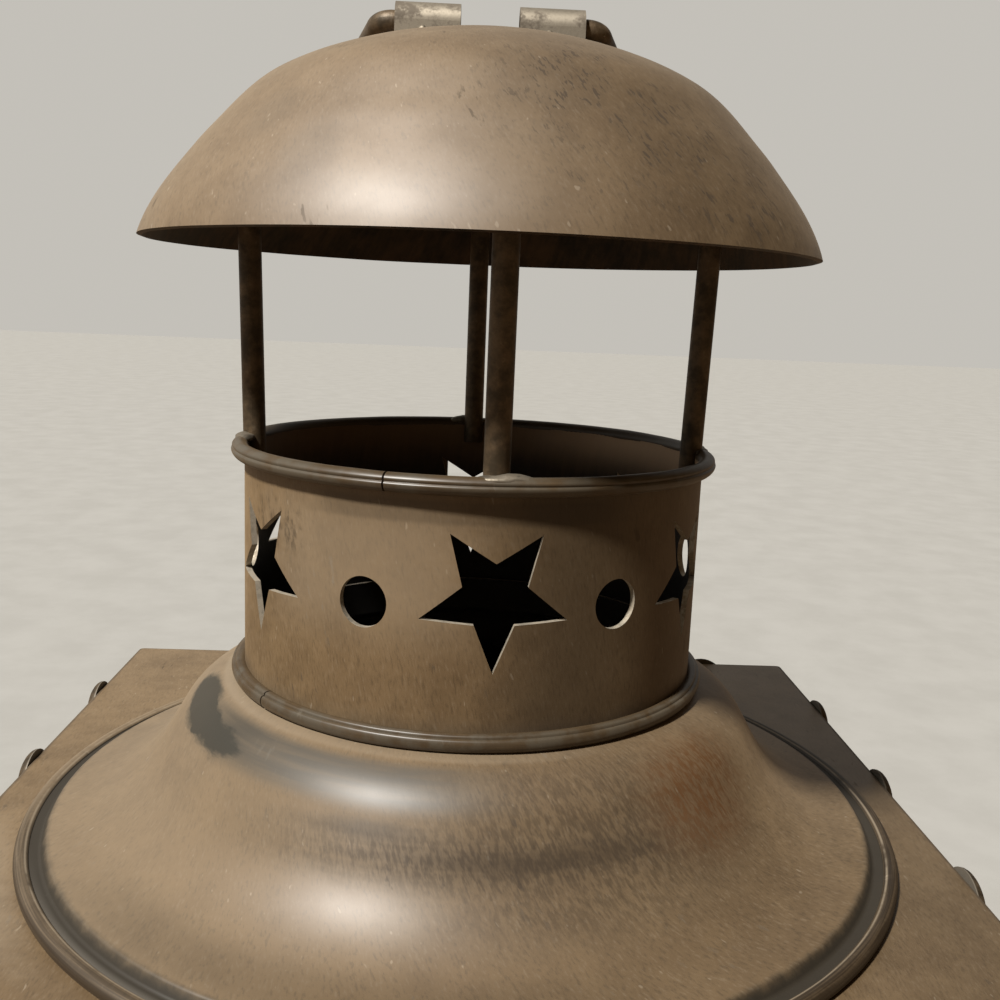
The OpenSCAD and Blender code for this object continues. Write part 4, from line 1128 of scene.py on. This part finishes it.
def framed_sheet(name, half, low, high, window, mid):
    """A sheet facing the front at y = 0, with a window of that width and height round a middle height."""
    deselect()
    middle = (0, 0, mid * MM)
    bpy.ops.mesh.primitive_plane_add(size=1, location=middle, rotation=(math.pi / 2, 0, 0))
    piece = bpy.context.object
    piece.name = name
    piece.scale = (window[0] * MM, window[1] * MM, 1)
    fix_place()
    edit()
    bpy.ops.mesh.select_mode(type="VERT")
    take_all()
    bpy.ops.mesh.bevel(offset=WINDOW_CORNER * MM, segments=6, affect="VERTICES")
    take_all()
    bpy.ops.mesh.delete(type="ONLY_FACE")
    take_all()
    wide, tall, lifted = window[0], window[1], 0.0
    for out, lift in RIB + ((2 * half, 0.0),):
        bpy.ops.mesh.extrude_edges_move()
        wider, taller = window[0] + 2 * out, window[1] + 2 * out
        bpy.ops.transform.resize(value=(wider / wide, 1, taller / tall), center_override=middle)
        bpy.ops.transform.translate(value=(0, (lifted - lift) * MM, 0))
        wide, tall, lifted = wider, taller, lift
    for spot, way in (((half, 0, 0), (1, 0, 0)), ((-half, 0, 0), (-1, 0, 0)), ((0, 0, high), (0, 0, 1)),
                      ((0, 0, low), (0, 0, -1))):
        take_all()
        bpy.ops.mesh.bisect(plane_co=Vector(spot) * MM, plane_no=way, clear_outer=True)
    face_outwards()
    if sum(face.normal.y * face.area for face in piece.data.polygons) > 0:
        edit()
        take_all()
        bpy.ops.mesh.flip_normals()
        leave()
    return piece


first_wall = framed_sheet("wall_sheet", WALL_HALF, PLINTH_TOP, CASING_TOP, WINDOW, WINDOW_MID)
apply(first_wall, "SOLIDIFY", thickness=WALL_SHEET * MM, offset=-1)
wall_paint = antique_paint("wall_paint", "upright")
for name, angle in (("wall_left", -90), ("wall_right", 90), ("wall_back", 180)):
    wall = copied(first_wall, about_axis(angle) @ Matrix.Translation((0, -WALL_FACE * MM, 0)))
    wall.name = name + "_sheet"
    settle(wall, wall_paint, name)
bpy.data.objects.remove(first_wall)

# %% Fold the door
(door_left, door_front, door_low), (door_right, door_back, door_high) = (
    [v / MM for v in corner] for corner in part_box("door_frame"))
DOOR_RIM, DOOR_SHEET, DOOR_FOLD = 16, 0.9, 1.0
door_window = (door_right - door_left - 2 * DOOR_RIM, door_high - door_low - 2 * DOOR_RIM)
door = framed_sheet("door_pan", door_right, door_low, door_high, door_window, (door_low + door_high) / 2)


def on_border(spot):
    """True at the outer border of the door sheet."""
    return abs(spot.x) > door_right - 0.01 or spot.z < door_low + 0.01 or spot.z > door_high - 0.01


pick_edges(door, lambda a, b: on_border(a) and on_border(b))
bpy.ops.mesh.extrude_edges_move(TRANSFORM_OT_translate={"value": (0, (door_back - door_front) * MM, 0)})
leave()
pick_edges(door, lambda a, b: on_border(a) and on_border(b) and max(a.y, b.y) < 0.01)
bpy.ops.mesh.bevel(offset=DOOR_FOLD * MM, segments=3, affect="EDGES")
take_all()
bpy.ops.transform.translate(value=(0, door_front * MM, 0))
leave()
apply(door, "SOLIDIFY", thickness=DOOR_SHEET * MM, offset=-1)
settle(door, antique_paint("door_paint", "upright"), "door_frame", body="door")

# %% [markdown]
# ## Corner strips
#
# The upright corners are covered by angle strips. A strip is two sides of a thin post with a rounded
# corner, made thick by Solidify. One is made and turned to the other three corners.

# %% Bend the strips
STRIP_LEG, STRIP_SHEET, STRIP_BEND = 12, 1.0, 1.3
deselect()
strip_out = STRIP_LEG / 2 - CASING_HALF
strip_middle = Vector((strip_out, strip_out, (PLINTH_TOP + CASING_TOP) / 2)) * MM
bpy.ops.mesh.primitive_cube_add(size=1, location=strip_middle,
                                scale=(STRIP_LEG * MM, STRIP_LEG * MM, (CASING_TOP - PLINTH_TOP) * MM))
fix_place()
strip = bpy.context.object
pick_faces(strip, lambda face: face.normal.x > -0.5 and face.normal.y > -0.5)
bpy.ops.mesh.delete(type="FACE")
leave()
pick_edges(strip, lambda a, b: max(a.x, b.x, a.y, b.y) < 0.01 - CASING_HALF)
bpy.ops.mesh.bevel(offset=STRIP_BEND * MM, segments=4, affect="EDGES")
leave()
apply(strip, "SOLIDIFY", thickness=STRIP_SHEET * MM, offset=-1, use_even_offset=True)
strips = joined([strip] + [copied(strip, about_axis(angle)) for angle in (90, 180, 270)], "corner_angles")


def strip_marks(g, s, colour):
    """Paint rubbed off the corner."""
    corner = rise(g, s.from_middle(g, "MINIMUM"), CASING_HALF - 2.2, CASING_HALF - 0.8)
    rubbed = corner * rise(g, noise(g, s.strokes(g, 4), 3, 4, 0.65, 6.0), 0.46, 0.60)
    return blend(g, rubbed * 0.5, colour, CREAM), 0.0


settle(strips, antique_paint("strip_paint", "upright", strip_marks), "corner_strips")

# %% [markdown]
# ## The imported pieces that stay
#
# Rods, straps, glass and small fittings are already right as solids. They keep their shape and get
# their finish here.

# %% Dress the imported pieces
panel_paint = antique_paint("panel_paint", "upright")
pan_paint = antique_paint("pan_paint", "round")
dressed = (
    (pan_paint, ("candle_pan", "candle_socket")),
    (panel_paint, ("front_panel",)),
    (trim, ("feet", "foot_rivets", "posts", "bail")),
    (strap_metal, ("sleeves",)),
    (dull_steel, ("pan_rivet", "pane_clips", "door_clips", "hinge_pins", "frame_rivets", "door_rivets",
                  "rim_wires")),
    (old_brass, ("door_knob", "door_catch", "frame_leaves", "door_leaves")),
    (window_glass, ("pane_left", "pane_right", "pane_back", "door_pane")),
)
for finish, names in dressed:
    for name in names:
        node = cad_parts[name]
        node.data.materials.clear()
        node.data.materials.append(finish)
print("dressed", sum(len(names) for _, names in dressed))

# %% [markdown]
# ## The floor
#
# The lantern stands on a wide pale floor that runs to the horizon. A floor as pale as that would
# throw as much light up as the room does, and the photograph has none of it. So the floor is pale
# to the camera and dim to the light that bounces.

# %% Lay the floor
FLOOR_SIDE, FLOOR_BOUNCE = 16, (0.120, 0.080, 0.045, 1)
FLOOR_DARK, FLOOR_PALE = (0.235, 0.23, 0.215, 1), (0.26, 0.255, 0.24, 1)
deselect()
bpy.ops.mesh.primitive_plane_add(size=FLOOR_SIDE)
floor = bpy.context.object
floor.name = "floor"
floor_finish, g, shader = finish_named("floor_finish")
speckle = noise(g, Surface(g, "flat").place, 60, 4, 0.6)
floor_tone = blend(g, rise(g, speckle, 0.3, 0.7), FLOOR_DARK, FLOOR_PALE)
floor_tone = blend(g, g.node("ShaderNodeLightPath", out="Is Camera Ray"), FLOOR_BOUNCE, floor_tone)
feed(g, shader, Base_Color=floor_tone, Roughness=0.9)
floor.data.materials.append(floor_finish)
print("floor laid")

# %% [markdown]
# ## The size
#
# The finished lantern has to keep the size of the imported one.

# %% Finish
print("lantern built")
